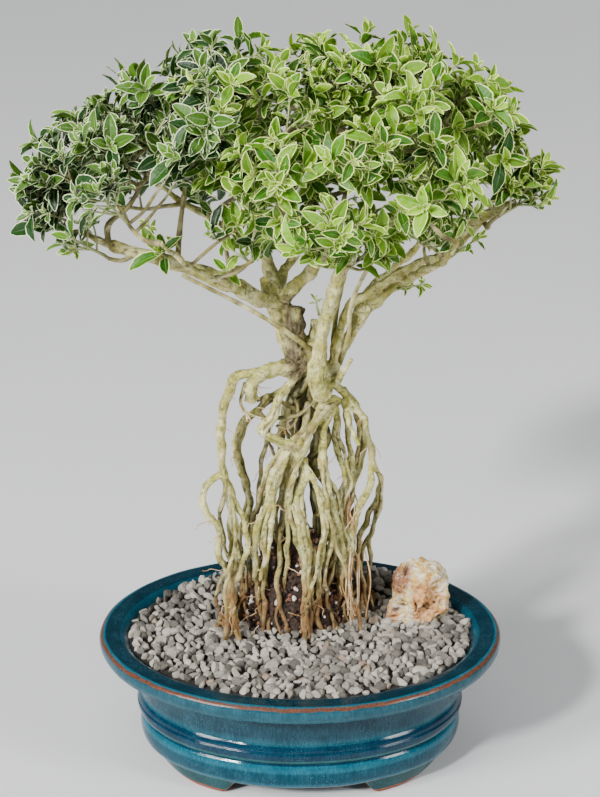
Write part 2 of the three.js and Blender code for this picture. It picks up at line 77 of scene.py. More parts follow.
camera_data = bpy.data.cameras.new("camera")
camera_data.lens, camera_data.sensor_width = 2295 / 797 * 36, 36
camera = bpy.data.objects.new("camera", camera_data)
camera.location = (POT_CENTRE + [0, -1296.4, 843.5]) / 1000
camera.rotation_euler = (np.radians(90 - 24.5), 0, 0)
bpy.context.scene.collection.objects.link(camera)
bpy.context.scene.camera = camera
for name, place, level, width, power in (("light_left", (-1.4, -1.15, 1.2), 0.25, 0.4, 48),
                                         ("light_right", (1.5, -1.05, 1.1), 0.25, 0.38, 30),
                                         ("light_top", (-0.1, -0.2, 1.9), 0.2, 0.9, 12)):
    box = lamp(name, "AREA", place, level, power)
    box.shape, box.size, box.size_y = "RECTANGLE", width, 2 * width
lamp("light_sky", "SUN", (-1.5, -1.9, 1.8), 0.2, 3.5).angle = np.radians(6)
world = bpy.data.worlds.new("studio")
bpy.context.scene.world = world
world.use_nodes = True
background = world.node_tree.nodes["Background"]
background.inputs["Color"].default_value = (0.82, 0.86, 0.92, 1)
background.inputs["Strength"].default_value = 0.21
print("camera at", [round(v, 3) for v in camera.location])

# %% [markdown]
# ## Helpers for shapes
# Three small helpers carry the whole scene. `new_piece` turns arrays into a mesh. `sleeve` joins rings of
# points into a closed skin, which serves for the pot, the roots and the stems alike. `ripple` is a smooth
# pattern in space, a sum of sine waves, and it makes all the lumps and grooves.

# %% Mesh, sleeve and ripple
def new_piece(name, points, faces, finish, slot, node=None, sharp=None, **patterns):
    """A mesh object from arrays: points (n, 3) in mm around the pot's centre, faces a list of (m, k) arrays
    of point numbers. patterns are point attributes, (n,) or (n, 3). sharp is the angle in degrees past which
    an edge is shaded sharp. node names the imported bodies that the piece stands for."""
    mesh = bpy.data.meshes.new(name)
    sizes = np.concatenate([np.full(len(f), f.shape[1]) for f in faces])
    corners = np.concatenate([f.ravel() for f in faces])
    mesh.vertices.add(len(points))
    mesh.vertices.foreach_set("co", ((points + POT_CENTRE) / 1000).astype(np.float32).ravel())
    mesh.loops.add(len(corners))
    mesh.loops.foreach_set("vertex_index", corners.astype(np.int32))
    mesh.polygons.add(len(sizes))
    mesh.polygons.foreach_set("loop_start", (np.cumsum(sizes) - sizes).astype(np.int32))
    mesh.polygons.foreach_set("use_smooth", np.ones(len(sizes), bool))
    mesh.update(calc_edges=True)
    for pattern, values in patterns.items():
        kind = "FLOAT" if values.ndim == 1 else "FLOAT_VECTOR"
        layer = mesh.attributes.new(pattern, kind, "POINT")
        layer.data.foreach_set("value" if values.ndim == 1 else "vector", values.astype(np.float32).ravel())
    if sharp is not None:
        mesh.set_sharp_from_angle(angle=np.radians(sharp))
    mesh.materials.append(finish)
    piece = bpy.data.objects.new(name, mesh)
    bpy.context.scene.collection.objects.link(piece)
    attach(piece, "root")
    if node:
        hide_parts(*([node] if isinstance(node, str) else node))
    print(f"{name}: {int((sizes - 2).sum())} triangles")
    return piece


def sleeve(rings):
    """Rings (m, n, 3) joined one to the next, and closed at both ends by a point in the ring's middle. Each
    ring runs anticlockwise as seen from the end, so the faces look outwards."""
    rows, columns = rings.shape[:2]
    i, j = np.meshgrid(np.arange(rows - 1), np.arange(columns), indexing="ij")
    near, far = i * columns, (i + 1) * columns
    after = (j + 1) % columns
    quads = np.stack([near + j, near + after, far + after, far + j], -1).reshape(-1, 4)
    ring = np.arange(columns)
    start, end = rows * columns, rows * columns + 1
    turned = np.roll(ring, -1)
    first = np.stack([np.full(columns, start), turned, ring], -1)
    last = np.stack([np.full(columns, end), ring + (rows - 1) * columns, turned + (rows - 1) * columns], -1)
    points = np.vstack([rings.reshape(-1, 3), rings[0].mean(0), rings[-1].mean(0)])
    return points, [quads, np.vstack([first, last])]


def gathered(parts):
    """Several (points, faces) as one, with the point numbers moved on."""
    moved, faces, count = [], [], 0
    for points, groups in parts:
        moved.append(points)
        faces += [group + count for group in groups]
        count += len(points)
    return np.vstack(moved), faces


def ripple(points, wavelength, seed, waves=10):
    """A smooth pattern of about -1 to 1: sine waves of about one wavelength (mm) that run in random
    directions, added up."""
    draw = np.random.default_rng(seed)
    heading = draw.normal(size=(waves, 3))
    heading /= np.linalg.norm(heading, axis=1, keepdims=True)
    pitch = 2 * np.pi / (wavelength * draw.uniform(0.7, 1.4, waves))
    return np.sin(points @ (heading * pitch[:, None]).T + draw.uniform(0, 6.28, waves)).sum(-1) / waves**0.5


def unit(vectors):
    """Vectors of length 1 along the last axis."""
    return vectors / np.maximum(np.linalg.norm(vectors, axis=-1, keepdims=True), 1e-9)


# %% [markdown]
# ## Helpers for finishes
# Every finish is a principled shader whose colour, roughness and bump come from patterns on the piece's own
# coordinates or on an attribute of its mesh. The helpers only save typing: one adds a node to the newest
# finish and wires it, and the others name the few patterns that are used again and again, with their sizes in
# millimetres. What a node gives is a field, and two fields can be added or multiplied like numbers.

# %% Node helpers
class Field:
    """A number or colour that varies over a finish: one output of a node. + - * each make a Math node."""

    def __init__(self, socket):
        self.socket = socket

    def __add__(self, other):
        return add("Math", {0: self, 1: other}, operation="ADD")

    def __sub__(self, other):
        return add("Math", {0: self, 1: other}, operation="SUBTRACT")

    def __rsub__(self, other):
        return add("Math", {0: other, 1: self}, operation="SUBTRACT")

    def __mul__(self, other):
        return add("Math", {0: self, 1: other}, operation="MULTIPLY")


def new_finish(name, **sockets):
    """A principled material with the given constant values on the shader's own sockets."""
    global tree
    finish = bpy.data.materials.new(name)
    finish.use_nodes = True
    tree = finish.node_tree
    for socket, value in sockets.items():
        tree.nodes["Principled BSDF"].inputs[socket.replace("_", " ")].default_value = value
    return finish


def add(kind, inputs, output=0, **settings):
    """One node in the newest finish, with each input set to a value or wired to a field."""
    made = tree.nodes.new("ShaderNode" + kind)
    for setting, value in settings.items():
        setattr(made, setting, value)
    for socket, value in inputs.items():
        if isinstance(value, Field):
            tree.links.new(value.socket, made.inputs[socket])
        else:
            made.inputs[socket].default_value = value
    return Field(made.outputs[output])


def place_of(stretch=(1, 1, 1)):
    """The piece's own coordinates in mm, squeezed along each axis by stretch."""
    spot = add("TexCoord", {}, "Object")
    return add("Mapping", {"Vector": spot, "Scale": tuple(1000 * s for s in stretch)})


def mottle(size, detail=3, stretch=(1, 1, 1), roughness=0.55):
    """Cloudy noise from 0 to 1 whose clouds are size mm across."""
    return add("TexNoise", {"Vector": place_of(stretch), "Scale": 1 / size, "Detail": detail,
                             "Roughness": roughness})


def pattern_of(name, output="Fac"):
    """A point attribute of the mesh, as a number (Fac), a colour (Color) or three numbers (Vector)."""
    return add("Attribute", {}, output, attribute_name=name)


def ramp(factor, *stops):
    """Colours along a scale: each stop is (position, red, green, blue)."""
    made = add("ValToRGB", {0: factor})
    scale = made.socket.node.color_ramp.elements
    while len(scale) < len(stops):
        scale.new(1)
    for element, (position, *colour) in zip(scale, stops):
        element.position, element.color = position, (*colour, 1)
    return made


def step_up(value, low, high):
    """0 below low, 1 above high and a smooth slope between them."""
    return add("MapRange", {"Value": value, "From Min": low, "From Max": high},
               interpolation_type="SMOOTHSTEP")


def blend(factor, first, second):
    """The first colour where the factor is 0 and the second where it is 1."""
    first, second = (c if isinstance(c, Field) else (*c, 1) for c in (first, second))
    return add("Mix", {0: factor, 6: first, 7: second}, 2, data_type="RGBA")


def wire(colour, height=None, depth=0.3, roughness=None):
    """Wires a colour, a bump (0 to 1, depth mm deep) and a roughness to the newest finish's shader."""
    bump = height and add("Bump", {"Height": height, "Distance": depth / 1000, "Strength": 1.0})
    for socket, field in (("Base Color", colour), ("Normal", bump), ("Roughness", roughness)):
        if field:
            tree.links.new(field.socket, tree.nodes["Principled BSDF"].inputs[socket])


def dress(name, finish):
    """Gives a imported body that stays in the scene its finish."""
    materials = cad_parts[name].data.materials
    materials.clear()
    materials.append(finish)


floor_finish = new_finish("floor_paint", Roughness=0.7)
wire(ramp(mottle(300), (0.3, 0.66, 0.665, 0.67), (0.7, 0.69, 0.69, 0.69)))
bpy.ops.mesh.primitive_plane_add(size=14, location=(0, 2, 0))
floor = bpy.context.object
floor.name = "floor"
floor.data.materials.append(floor_finish)
print("finishes and floor ready")

# %% [markdown]
# ## The pot
# The real pot is pressed in a mould, so its outline is the same all the way round an oval. Here one outline,
# from the middle of the underside over the rim to the middle of the floor inside, is carried round the oval,
# with every corner softened. The glaze is thick and dark in the hollows and thin on the edges, where the
# light blue specks and, on the rim, the brown clay show through. So each corner of the outline carries the
# tint that the glaze has there, and the noise only breaks it up.

# %% The pot's outline and its glaze tints
TEAL_DEEP, TEAL, TEAL_LIGHT = (0.0004, 0.013, 0.023), (0.0005, 0.030, 0.050), (0.002, 0.060, 0.092)
NAVY, SLATE, SPECKLED = (0.001, 0.017, 0.036), (0.005, 0.027, 0.043), (0.006, 0.044, 0.064)
GREEN_EDGE = (0.003, 0.050, 0.056)
POT_OUTLINE = [  # half-width, height, softness of the corner, tint
    (88, 11, 2, TEAL), (98, 11, 2, TEAL), (104, 14.5, 2.4, TEAL_LIGHT), (105.6, 21, 4, TEAL),
    (105, 28.8, 2.6, TEAL_LIGHT), (102.8, 31.4, 0.8, NAVY), (106.0, 33.8, 2.4, GREEN_EDGE),
    (107.4, 38.5, 3, NAVY), (106.6, 44.0, 3.4, NAVY), (104.4, 47.2, 1.0, SPECKLED), (104.8, 56, 5, SLATE),
    (106.4, 67, 4, SLATE), (115, 72.5, 4, SLATE), (127, 76.5, 3, SPECKLED), (130.4, 81, 3, SPECKLED),
    (130.2, 86.6, 1.6, SPECKLED), (128, 89, 1.5, TEAL_LIGHT), (124, 89, 3, TEAL_DEEP),
    (118, 88.7, 3, TEAL_DEEP), (115.5, 88, 1.6, TEAL), (109, 82, 3, TEAL_DEEP), (103, 73, 4, TEAL_DEEP),
    (98, 24, 4, TEAL), (92, 18, 3, TEAL), (60, 18, 2, TEAL)]
RIM_EDGE, FAR_FROM_EDGE = (129.6, 88.2), 500  # where the bare clay shows, and a distance in mm for elsewhere


def softened(outline, steps=5):
    """Every corner becomes a quadratic Bezier curve that starts and ends softness mm from it: (1-t)^2 A +
    2t(1-t) B + t^2 C, where B is the corner."""
    *spots, soft, tints = (np.array(column, float) for column in zip(*outline))
    spots, soft = np.stack(spots, -1), soft[:, None]
    back = np.vstack([spots[:1], spots[:-1]]) - spots
    on = np.vstack([spots[1:], spots[-1:]]) - spots
    back, on = [unit(v) * np.minimum(soft, np.linalg.norm(v, axis=1, keepdims=True) / 2) for v in (back, on)]
    t = np.linspace(0, 1, steps)[:, None, None]
    curve = (1 - t) ** 2 * (spots + back) + 2 * t * (1 - t) * spots + t**2 * (spots + on)
    return curve.transpose(1, 0, 2).reshape(-1, 2), np.repeat(tints, steps, 0)


def pot_body(sides=160):
    """The outline carried round the oval: x = r cos a, y = (r - 30) sin a, and half of r inside 60 mm. Also
    each point's tint and its distance along the outline from the rim's edge."""
    outline, tints = softened(POT_OUTLINE)
    angles = np.linspace(0, 2 * np.pi, sides, endpoint=False)
    radius, height = outline[:, :1], outline[:, 1:]
    depth = np.where(radius > 60, radius - 30, radius / 2)
    rings = np.stack([radius * np.cos(angles), depth * np.sin(angles), height + 0 * angles], -1)
    rings += 0.25 * ripple(rings, 40, 3)[..., None] * unit(rings * [1, 1, 0])
    points, faces = sleeve(rings)
    tint = np.vstack([np.repeat(tints, sides, 0), tints[0], tints[-1]])
    length = np.concatenate([[0], np.cumsum(np.linalg.norm(np.diff(outline, axis=0), axis=1))])
    edge = length[np.argmin(np.abs(outline - RIM_EDGE).sum(1))]
    from_edge = np.append(np.repeat(length - edge, sides), [FAR_FROM_EDGE] * 2)
    return points, faces, tint, from_edge


def pot_foot(turn):
    """One bracket foot: a softened section bent along the oval from 8 to 68 degrees. Its underside comes
    down as a power of the angle, lies flat, and goes up again in an S to the arch at the front."""
    degrees = np.linspace(8, 68, 61)
    angle = np.radians(degrees)[:, None]
    down = 13 * np.clip((48 - degrees) / 40, 0, 1) ** 1.35
    up = np.clip((degrees - 58) / 10, 0, 1)
    under = down + 13 * up**2 * (3 - 2 * up)
    outline, _ = softened([(82, 15, 1, TEAL), (79, 1, 1.5, TEAL), (97, 1, 2, TEAL), (99.5, 8, 3, TEAL),
                           (101.5, 15, 1, TEAL)], 4)
    level = (outline[:, 1] - 1) / 14
    height = under[:, None] * (1 - level) + 15 * level
    radius = np.broadcast_to(outline[:, 0], height.shape)
    rings = np.stack([radius * np.cos(angle), (radius - 30) * np.sin(angle), height], -1) * [*turn, 1]
    return sleeve(rings[:, ::-1] if turn[0] * turn[1] > 0 else rings)


# %% The glaze
glaze = new_finish("glaze", Roughness=0.07, IOR=1.29)
tint = pattern_of("tint", "Color")
runs = step_up(mottle(1.1, 4, (1, 1, 0.16), 0.7), 0.42, 0.72)
pools = step_up(mottle(16, 4), 0.42, 0.68)
lighter = add("HueSaturation", {"Color": tint, "Saturation": 0.92, "Value": 2.3, "Hue": 0.49})
cloudy = blend(pools * 0.3, blend(runs * 0.55, tint, lighter), lighter)
specks = step_up(mottle(0.5, 2), 0.55, 0.7) * step_up(mottle(14, 2), 0.35, 0.62)
speckled = blend(specks * 0.6, cloudy, (0.05, 0.17, 0.22))
edge = pattern_of("from_edge") + (mottle(7, 3) - 0.5) * 3.0
worn = step_up(edge, -1.6, -0.7) * (1.0 - step_up(edge, 0.9, 1.9))
rust = ramp(mottle(1.2, 3), (0.3, 0.045, 0.018, 0.012), (0.7, 0.15, 0.055, 0.028))
low_down = add("SeparateXYZ", {0: place_of()}, 2) + mottle(12, 3)
bare = 1.0 - step_up(low_down, 3.5, 4.1)
clay = ramp(mottle(2, 4), (0.3, 0.17, 0.05, 0.03), (0.7, 0.30, 0.10, 0.06))
wire(blend(bare, blend(worn, speckled, rust), clay), mottle(16, 1) + mottle(1.0, 2) * 0.1, 0.5,
     blend(bare, blend(worn, (0.07,) * 3, (0.3,) * 3), (0.75,) * 3))

# %% The pot as one piece
points, faces, tints, from_edge = pot_body()
foot_points, foot_faces = gathered([pot_foot((x, y)) for x in (-1, 1) for y in (-1, 1)])
foot_tint = GREEN_EDGE * np.clip(foot_points[:, 2:] / 15, 0.7, 1)
new_piece("pot_glazed", *gathered([(points, faces), (foot_points, foot_faces)]), glaze, "pot_glaze", "pot",
          tint=np.vstack([tints, foot_tint]),
          from_edge=np.append(from_edge, [FAR_FROM_EDGE] * len(foot_points)))

# %% [markdown]
# ## The screens
# A coarse plastic mesh lies over each drainage hole, under the soil. It is never seen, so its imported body
# stays and only gets a dark moulded plastic.

# %% The screens' plastic
plastic = new_finish("screen_plastic", Roughness=0.5)
wire(ramp(mottle(4), (0.3, 0.012, 0.012, 0.013), (0.7, 0.03, 0.03, 0.032)), mottle(0.8), 0.05)
dress("drain_screen_left", plastic)
dress("drain_screen_right", plastic)
print("screens finished")

# %% [markdown]
# ## Gravel, crumbs and the rock
# The pot is topped with crushed stone, 5 to 8 mm a grain, level in front and heaped behind the roots. Each
# grain starts as a ball of 80 triangles. A few random planes cut facets on it, and it is turned and set on
# a jittered triangular lattice, so that no two look alike and no bare patch stays. The packed gravel body
# lies just under the grains, painted near black as painted shade in the gaps. The same grains, smaller and
# darker, make the old soil that is still held between the roots.

# %% Grains
def ball(cuts):
    """A ball of radius 1: the points and triangles of an icosphere."""
    mesh = bpy.data.meshes.new("ball")
    maker = bmesh.new()
    bmesh.ops.create_icosphere(maker, subdivisions=cuts, radius=1)
    maker.to_mesh(mesh)
    maker.free()
    points = np.array([vertex.co[:] for vertex in mesh.vertices])
    triangles = np.array([face.vertices[:] for face in mesh.polygons])
    bpy.data.meshes.remove(mesh)
    return points, triangles


def turned(points, draw):
    """Each stone's points p (n, k, 3) turned by a random unit quaternion (w, a): p + 2 a x (a x p + w p)."""
    turn = unit(draw.normal(size=(len(points), 1, 4)))
    w, axis = turn[..., :1], turn[..., 1:]
    return points + 2 * np.cross(axis, np.cross(axis, points) + w * points)


def grains(centres, sizes, draw, flatness=0.72, facets=11, cuts=2):
    """Stones at the given centres: a ball is lumpy, stretched, and pressed flat against random planes."""
    points, triangles = ball(cuts)
    count = len(centres)
    stones = np.broadcast_to(points, (count, *points.shape)).copy()
    bulge = unit(draw.normal(size=(count, 3, 3)))
    stones *= 1 + 0.07 * np.sin(3 * np.einsum("nkc,nwc->nkw", stones, bulge) + 2).sum(-1)[..., None]
    for _ in range(facets):
        facing = unit(draw.normal(size=(count, 1, 3)))
        over = (stones * facing).sum(-1, keepdims=True) - draw.uniform(0.48, 0.84, (count, 1, 1))
        stones -= np.maximum(over, 0) * facing
    axes = np.stack([draw.uniform(1.0, 1.4, count), draw.uniform(0.78, 1.05, count),
                     draw.uniform(0.85, 1.15, count) * flatness], -1)
    stones = turned(stones * axes[:, None] * sizes[:, None, None] / 2, draw)
    stones += centres[:, None]
    shift = (np.arange(count) * len(points))[:, None, None]
    return stones.reshape(-1, 3), [(triangles + shift).reshape(-1, 3)], len(points)


def gravel_height(x, y):
    """Level at 85.2 mm, with a heap of 17 mm behind the roots on the right and one of 9 mm on the left."""
    right = 17 * np.exp(-(((x - 30) / 40) ** 2) - ((y - 54) / 20) ** 2)
    left = 9 * np.exp(-(((x + 45) / 32) ** 2) - ((y - 52) / 20) ** 2)
    return 85.2 + right + left


def lattice(pitch, jitter, draw):
    """Points of a triangular lattice over the pot, each moved by up to jitter."""
    x, y = np.meshgrid(np.arange(-112, 112, pitch), np.arange(-82, 82, pitch * 0.866))
    x = x + (np.arange(len(x)) % 2 * pitch / 2)[:, None]
    return x.ravel() + draw.uniform(-jitter, jitter, x.size), y.ravel() + draw.uniform(-jitter, jitter, x.size)


draw = np.random.default_rng(11)
x, y = lattice(5.5, 1.5, draw)
size = np.clip(draw.lognormal(np.log(7.2), 0.17, len(x)), 5.0, 10.5)
kept = np.hypot(x / (114 - size / 2), y / (84 - size / 2)) < 1  # inside the pot, off the soil, off the rock
kept &= (np.hypot((x + 3) / 27, (y - 17) / 12) > 1) & (np.hypot((x - 76) / 15, (y - 23) / 10) > 1)
x, y, size = x[kept], y[kept], size[kept]
centres = np.stack([x, y, gravel_height(x, y) + draw.uniform(-0.9, 1.3, len(x))], -1)
points, faces, each = grains(centres, size, draw)
tone = np.repeat(draw.uniform(0, 1, len(x)), each)
print(len(x), "gravel stones, mean size", size.mean().round(1), "mm")

# %% Gravel finish
gravel_finish = new_finish("gravel_grey", Roughness=0.85)
grey = ramp(pattern_of("tone"), (0.05, 0.085, 0.077, 0.064), (0.45, 0.225, 0.205, 0.17),
            (0.8, 0.45, 0.42, 0.36), (0.983, 0.225, 0.205, 0.17), (0.99, 0.30, 0.215, 0.155))
cloud = blend(mottle(1.6, 5), (0.62,) * 3, (1.25,) * 3)
clouded = add("Mix", {0: 1.0, 6: grey, 7: cloud}, 2, data_type="RGBA", blend_type="MULTIPLY")
dusty = blend(step_up(mottle(0.5, 2), 0.6, 0.7) * 0.35, clouded, (0.42, 0.38, 0.32))
wire(dusty, mottle(0.9, 6, roughness=0.7), 0.55)
new_piece("gravel_stones", points, faces, gravel_finish, "gravel_stone", sharp=20, tone=tone)

# %% The packed gravel under the stones, painted dark as shade in the gaps, and the soil
gap_shade = new_finish("gravel_gap_shade", Roughness=0.95)
wire(ramp(mottle(3, 5), (0.35, 0.007, 0.006, 0.005), (0.7, 0.022, 0.019, 0.015)), mottle(1.5, 5), 0.8)
dress("gravel", gap_shade)
earth = new_finish("soil_dark", Roughness=0.95)
wire(ramp(mottle(2.5, 5), (0.35, 0.012, 0.008, 0.006), (0.7, 0.07, 0.04, 0.026)), mottle(1.2, 5), 0.8)
dress("soil", earth)
draw = np.random.default_rng(12)
count = 1800
turn, level = draw.uniform(0, 2 * np.pi, count), draw.uniform(78, 163, count)
reach = np.interp(level, [78, 92, 115, 140, 165], [32, 32, 27, 20, 0]) * draw.uniform(0.9, 1.05, count)
centres = np.stack([-3 + reach * np.cos(turn), 15 + 0.52 * reach * np.sin(turn), level], -1)
points, faces, each = grains(centres, draw.uniform(1.4, 4.4, count), draw, 0.8, 4, 1)
kind = draw.uniform(0, 1, count)
crumbs = new_finish("crumbs", Roughness=0.95)
tint = ramp(pattern_of("tone"), (0.0, 0.018, 0.011, 0.008), (0.6, 0.06, 0.032, 0.02), (0.8, 0.15, 0.06, 0.035),
            (0.93, 0.30, 0.13, 0.075), (0.96, 0.7, 0.68, 0.62))
wire(tint, mottle(0.8, 5), 0.3)
new_piece("soil_crumbs", points, faces, crumbs, "soil_mix", sharp=35, tone=np.repeat(kind, each))

# %% [markdown]
# ## The rock
# A weathered nodule of layered stone stands at the right. It has a scooped face with ridges that run
# round a hollow, a slit beside it, and an orange lobe on the left. A ball is pushed in and out: large
# lumps first, then ridges that depend on the distance from the hollow, then sharp folds, which are the
# absolute value of a ripple. The folds, the troughs between the ridges and the slit get painted shade.

# %% The rock
ROCK_FACETS = [(0.1, 0, 1, 0.84), (1, -0.2, 0.1, 0.9), (0.75, -0.1, 0.65, 0.9), (-0.75, -0.2, 0.62, 0.93),
               (-1, 0, -0.1, 0.86), (0, -1, 0.35, 0.84), (0.6, -0.8, 0.1, 0.86), (-0.55, -0.8, 0.15, 0.8),
               (0.2, -0.9, -0.4, 0.84), (0.5, 0.8, 0.3, 0.84), (-0.4, 0.8, 0.4, 0.82), (0, 1, -0.2, 0.86)]


def rock_skin():
    """A ball pressed flat against a few planes, with a lobe pushed out at the lower left, a scooped hollow
    with ridges round it, a slit, and folds."""
    v, u = np.meshgrid(np.linspace(0, np.pi, 110)[1:-1], np.linspace(0, 2 * np.pi, 170, endpoint=False),
                       indexing="ij")
    ball = np.stack([np.sin(v) * np.cos(u), np.sin(v) * np.sin(u), -np.cos(v)], -1)
    x, y, z = ball[..., 0], ball[..., 1], ball[..., 2]
    body = ball.copy()
    for *facing, reach in ROCK_FACETS:
        facing = unit(np.array(facing))
        body -= 0.85 * np.maximum((body @ facing)[..., None] - reach, 0) * facing
    skin = body * [19.5, 15.5, 26]

    def near(direction, spread):
        return np.exp(-((ball - unit(np.array(direction))) ** 2).sum(-1) / spread)

    lobe, red = near((-0.86, -0.42, -0.42), 0.10), near((-0.80, -0.35, 0.58), 0.2)
    push = 8.5 * lobe - 2.6 * near((-0.6, -0.75, -0.35), 0.05) - 1.5 * near((-0.8, -0.5, 0.1), 0.05)
    hollow = unit(np.array([0.30, -0.93, 0.02]))
    apart = np.arccos(np.clip(ball @ hollow, -1, 1))
    warp = apart + 0.24 * ripple(skin, 17, 41)
    scoop = -3.0 * np.exp(-((warp / 0.36) ** 2)) + 1.5 * np.exp(-(((warp - 0.70) / 0.22) ** 2))
    ridges = 0.45 * np.sin(warp * 24) * np.exp(-((apart / 1.0) ** 2))
    slit = -3.2 * np.exp(-(((x + 0.22 + 0.04 * np.sin(z * 9)) / 0.05) ** 2)) * (y < 0) * np.exp(
        -(((z + 0.08) / 0.22) ** 2))
    folds = 1.7 * (0.5 - np.abs(ripple(skin, 15, 42))) + 1.1 * (0.5 - np.abs(ripple(skin, 5.5, 43)))
    skin += ball * (push + scoop + ridges + slit + folds + 0.3 * ripple(skin, 2.4, 44))[..., None]
    patterns = {"apart": apart, "folds": folds + ridges + slit, "lobe": lobe, "red": red}
    patterns = {name: np.append(field, field.flat[[0, -1]]) for name, field in patterns.items()}
    return skin + [79, 23, 102], patterns


rings, patterns = rock_skin()
rock_finish = new_finish("rock_layers", Roughness=0.9)
base = ramp(mottle(6, 5), (0.34, 0.50, 0.20, 0.06), (0.42, 0.74, 0.50, 0.20), (0.50, 0.86, 0.78, 0.52),
            (0.58, 0.78, 0.76, 0.66), (0.68, 0.74, 0.54, 0.14))
base = blend(step_up(mottle(4, 4), 0.50, 0.60) * 0.65, base, (0.74, 0.54, 0.09))
peach = blend(step_up(mottle(2.5, 4), 0.35, 0.65), (0.50, 0.17, 0.045), (0.80, 0.46, 0.20))
apart, clouds = pattern_of("apart"), mottle(8, 3)
base = blend((1.0 - step_up(apart + clouds, 1.0, 1.3)) * 0.85, base, peach)
rusty_red = blend(mottle(3, 4), (0.09, 0.018, 0.014), (0.46, 0.15, 0.08))
stained = step_up(pattern_of("red"), 0.05, 0.45) * step_up(mottle(3, 5, roughness=0.7), 0.3, 0.55)
base = blend(stained * 0.95, base, rusty_red)
orange = blend(step_up(mottle(5, 3), 0.4, 0.6), (0.66, 0.26, 0.08), (0.50, 0.38, 0.32))
base = blend(step_up(pattern_of("lobe"), 0.25, 0.6) * 0.75, base, orange)
bands = add("Math", {0: (apart + clouds * 0.5) * 26.0}, operation="SINE")
base = blend(step_up(bands, 0.2, 0.9) * 0.35, base, (0.55, 0.27, 0.10))
# Painted shade: dark brown in the folds, in the troughs between the ridges and in the slit.
fold_shade = 1.0 - step_up(pattern_of("folds") + mottle(1.5, 4), -2.0, -0.7)
base = blend(fold_shade * 0.9, base, (0.05, 0.022, 0.012))
uncracked = step_up(mottle(1.4, 6, roughness=0.75), 0.38, 0.45)
base = blend(uncracked, blend(0.8, base, (0.10, 0.040, 0.02)), base)
wire(base, mottle(1.6, 8, roughness=0.75), 1.4)
new_piece("rock_nodule", *sleeve(rings), rock_finish, "rock_stone", "rock", **patterns)

# %% [markdown]
# ## The wood
# Roots, trunks and limbs grew as one piece: the roots were once under ground, and now stand in the air like
# legs. Each one is a route of points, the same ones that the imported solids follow, with a start and an end
# radius. A smooth curve runs through the points, and rings along it swell and bend in like real roots. The
# thick ones are then melted into one skin with a voxel remesh, so that they flow into each other at the
# joints, and ripples press the bark's relief into it.

# %% Routes: name, start radius, end radius: points, all in mm
def routes_of(table):
    """The table's routes by name, each as start radius, end radius and points. An indented line goes on."""
    routes = {}
    for line in table.replace("\n    ", " ").strip().splitlines():
        head, spots = line.split(":")
        name, *radii = head.split()
        routes[name] = [*map(float, radii), *(tuple(map(float, spot.split())) for spot in spots.split(","))]
    return routes


BRANCHES = routes_of("""
trunk_foot 8.2 6.5: 8 22 284, 10 21 267, 13 18 254, 14 15 240
bark_stub 6.5 3.8: 9 20 268, 0 19 284, -2 22 295, 1 24 304
trunk_left 5.6 3.4: 11 22 264, 2 24 275, -4 27 290, -11 30 305, -20 36 328, -27 40 350, -29 42 378, -28 46 402
fork_right 4.6 2: -12 30 306, 7 16 332, 16 6 348, 20 -8 362, 14 -36 376, 0 -62 388
fork_back 3.7 1.9: -14 32 314, -8 50 321, 4 72 334, 10 96 352
trunk_right 6 2.4: 11 20 266, 15 17 295, 20 12 320, 27 8 343, 34 5 362, 40 4 380, 38 6 394, 44 10 420
limb_left 4.8 2.2: -10 29 305, -22 22 309, -37 12 323, -66 2 339, -89 -2 347, -111 -2 354, -132 2 362
limb_left_low 1.9 1.2: 9 18 276, -10 6 296, -30 -2 313, -56 -8 330, -71 -8 338
limb_back_left 3.2 1.8: -22 37 333, -48 58 345, -78 74 358, -100 80 374
limb_front_left 2.6 1.6: -37 12 323, -50 -14 338, -66 -42 358, -80 -60 378
limb_front_right 2.6 1.6: 63 20 322, 72 -8 340, 84 -38 358, 90 -60 378
limb_right 5.3 2.1: 17 20 256, 23 26 267, 31 30 282, 50 24 310, 76 18 330, 91 18 340, 108 13 362, 119 6 372
limb_right_back 3.2 1.8: 33 31 285, 39 44 301, 53 58 311, 72 74 322, 96 88 346
stem_thin 1.7 1.2: 20 22 259, 21 26 281, 23 28 301, 26 32 318, 22 50 345
stem_thin_right 1.7 1.2: 25 25 265, 30 15 288, 31 10 309, 38 -6 336, 48 -20 360
upright_left 1.9 1.3: -74 1 342, -72 0 366, -68 3 394
upright_far_left 1.9 1.3: -115 -2 355, -115 0 367, -103 1 378, -92 3 396
upright_inner 1.7 1.2: -41 10 325, -45 8 350, -46 8 376
""")

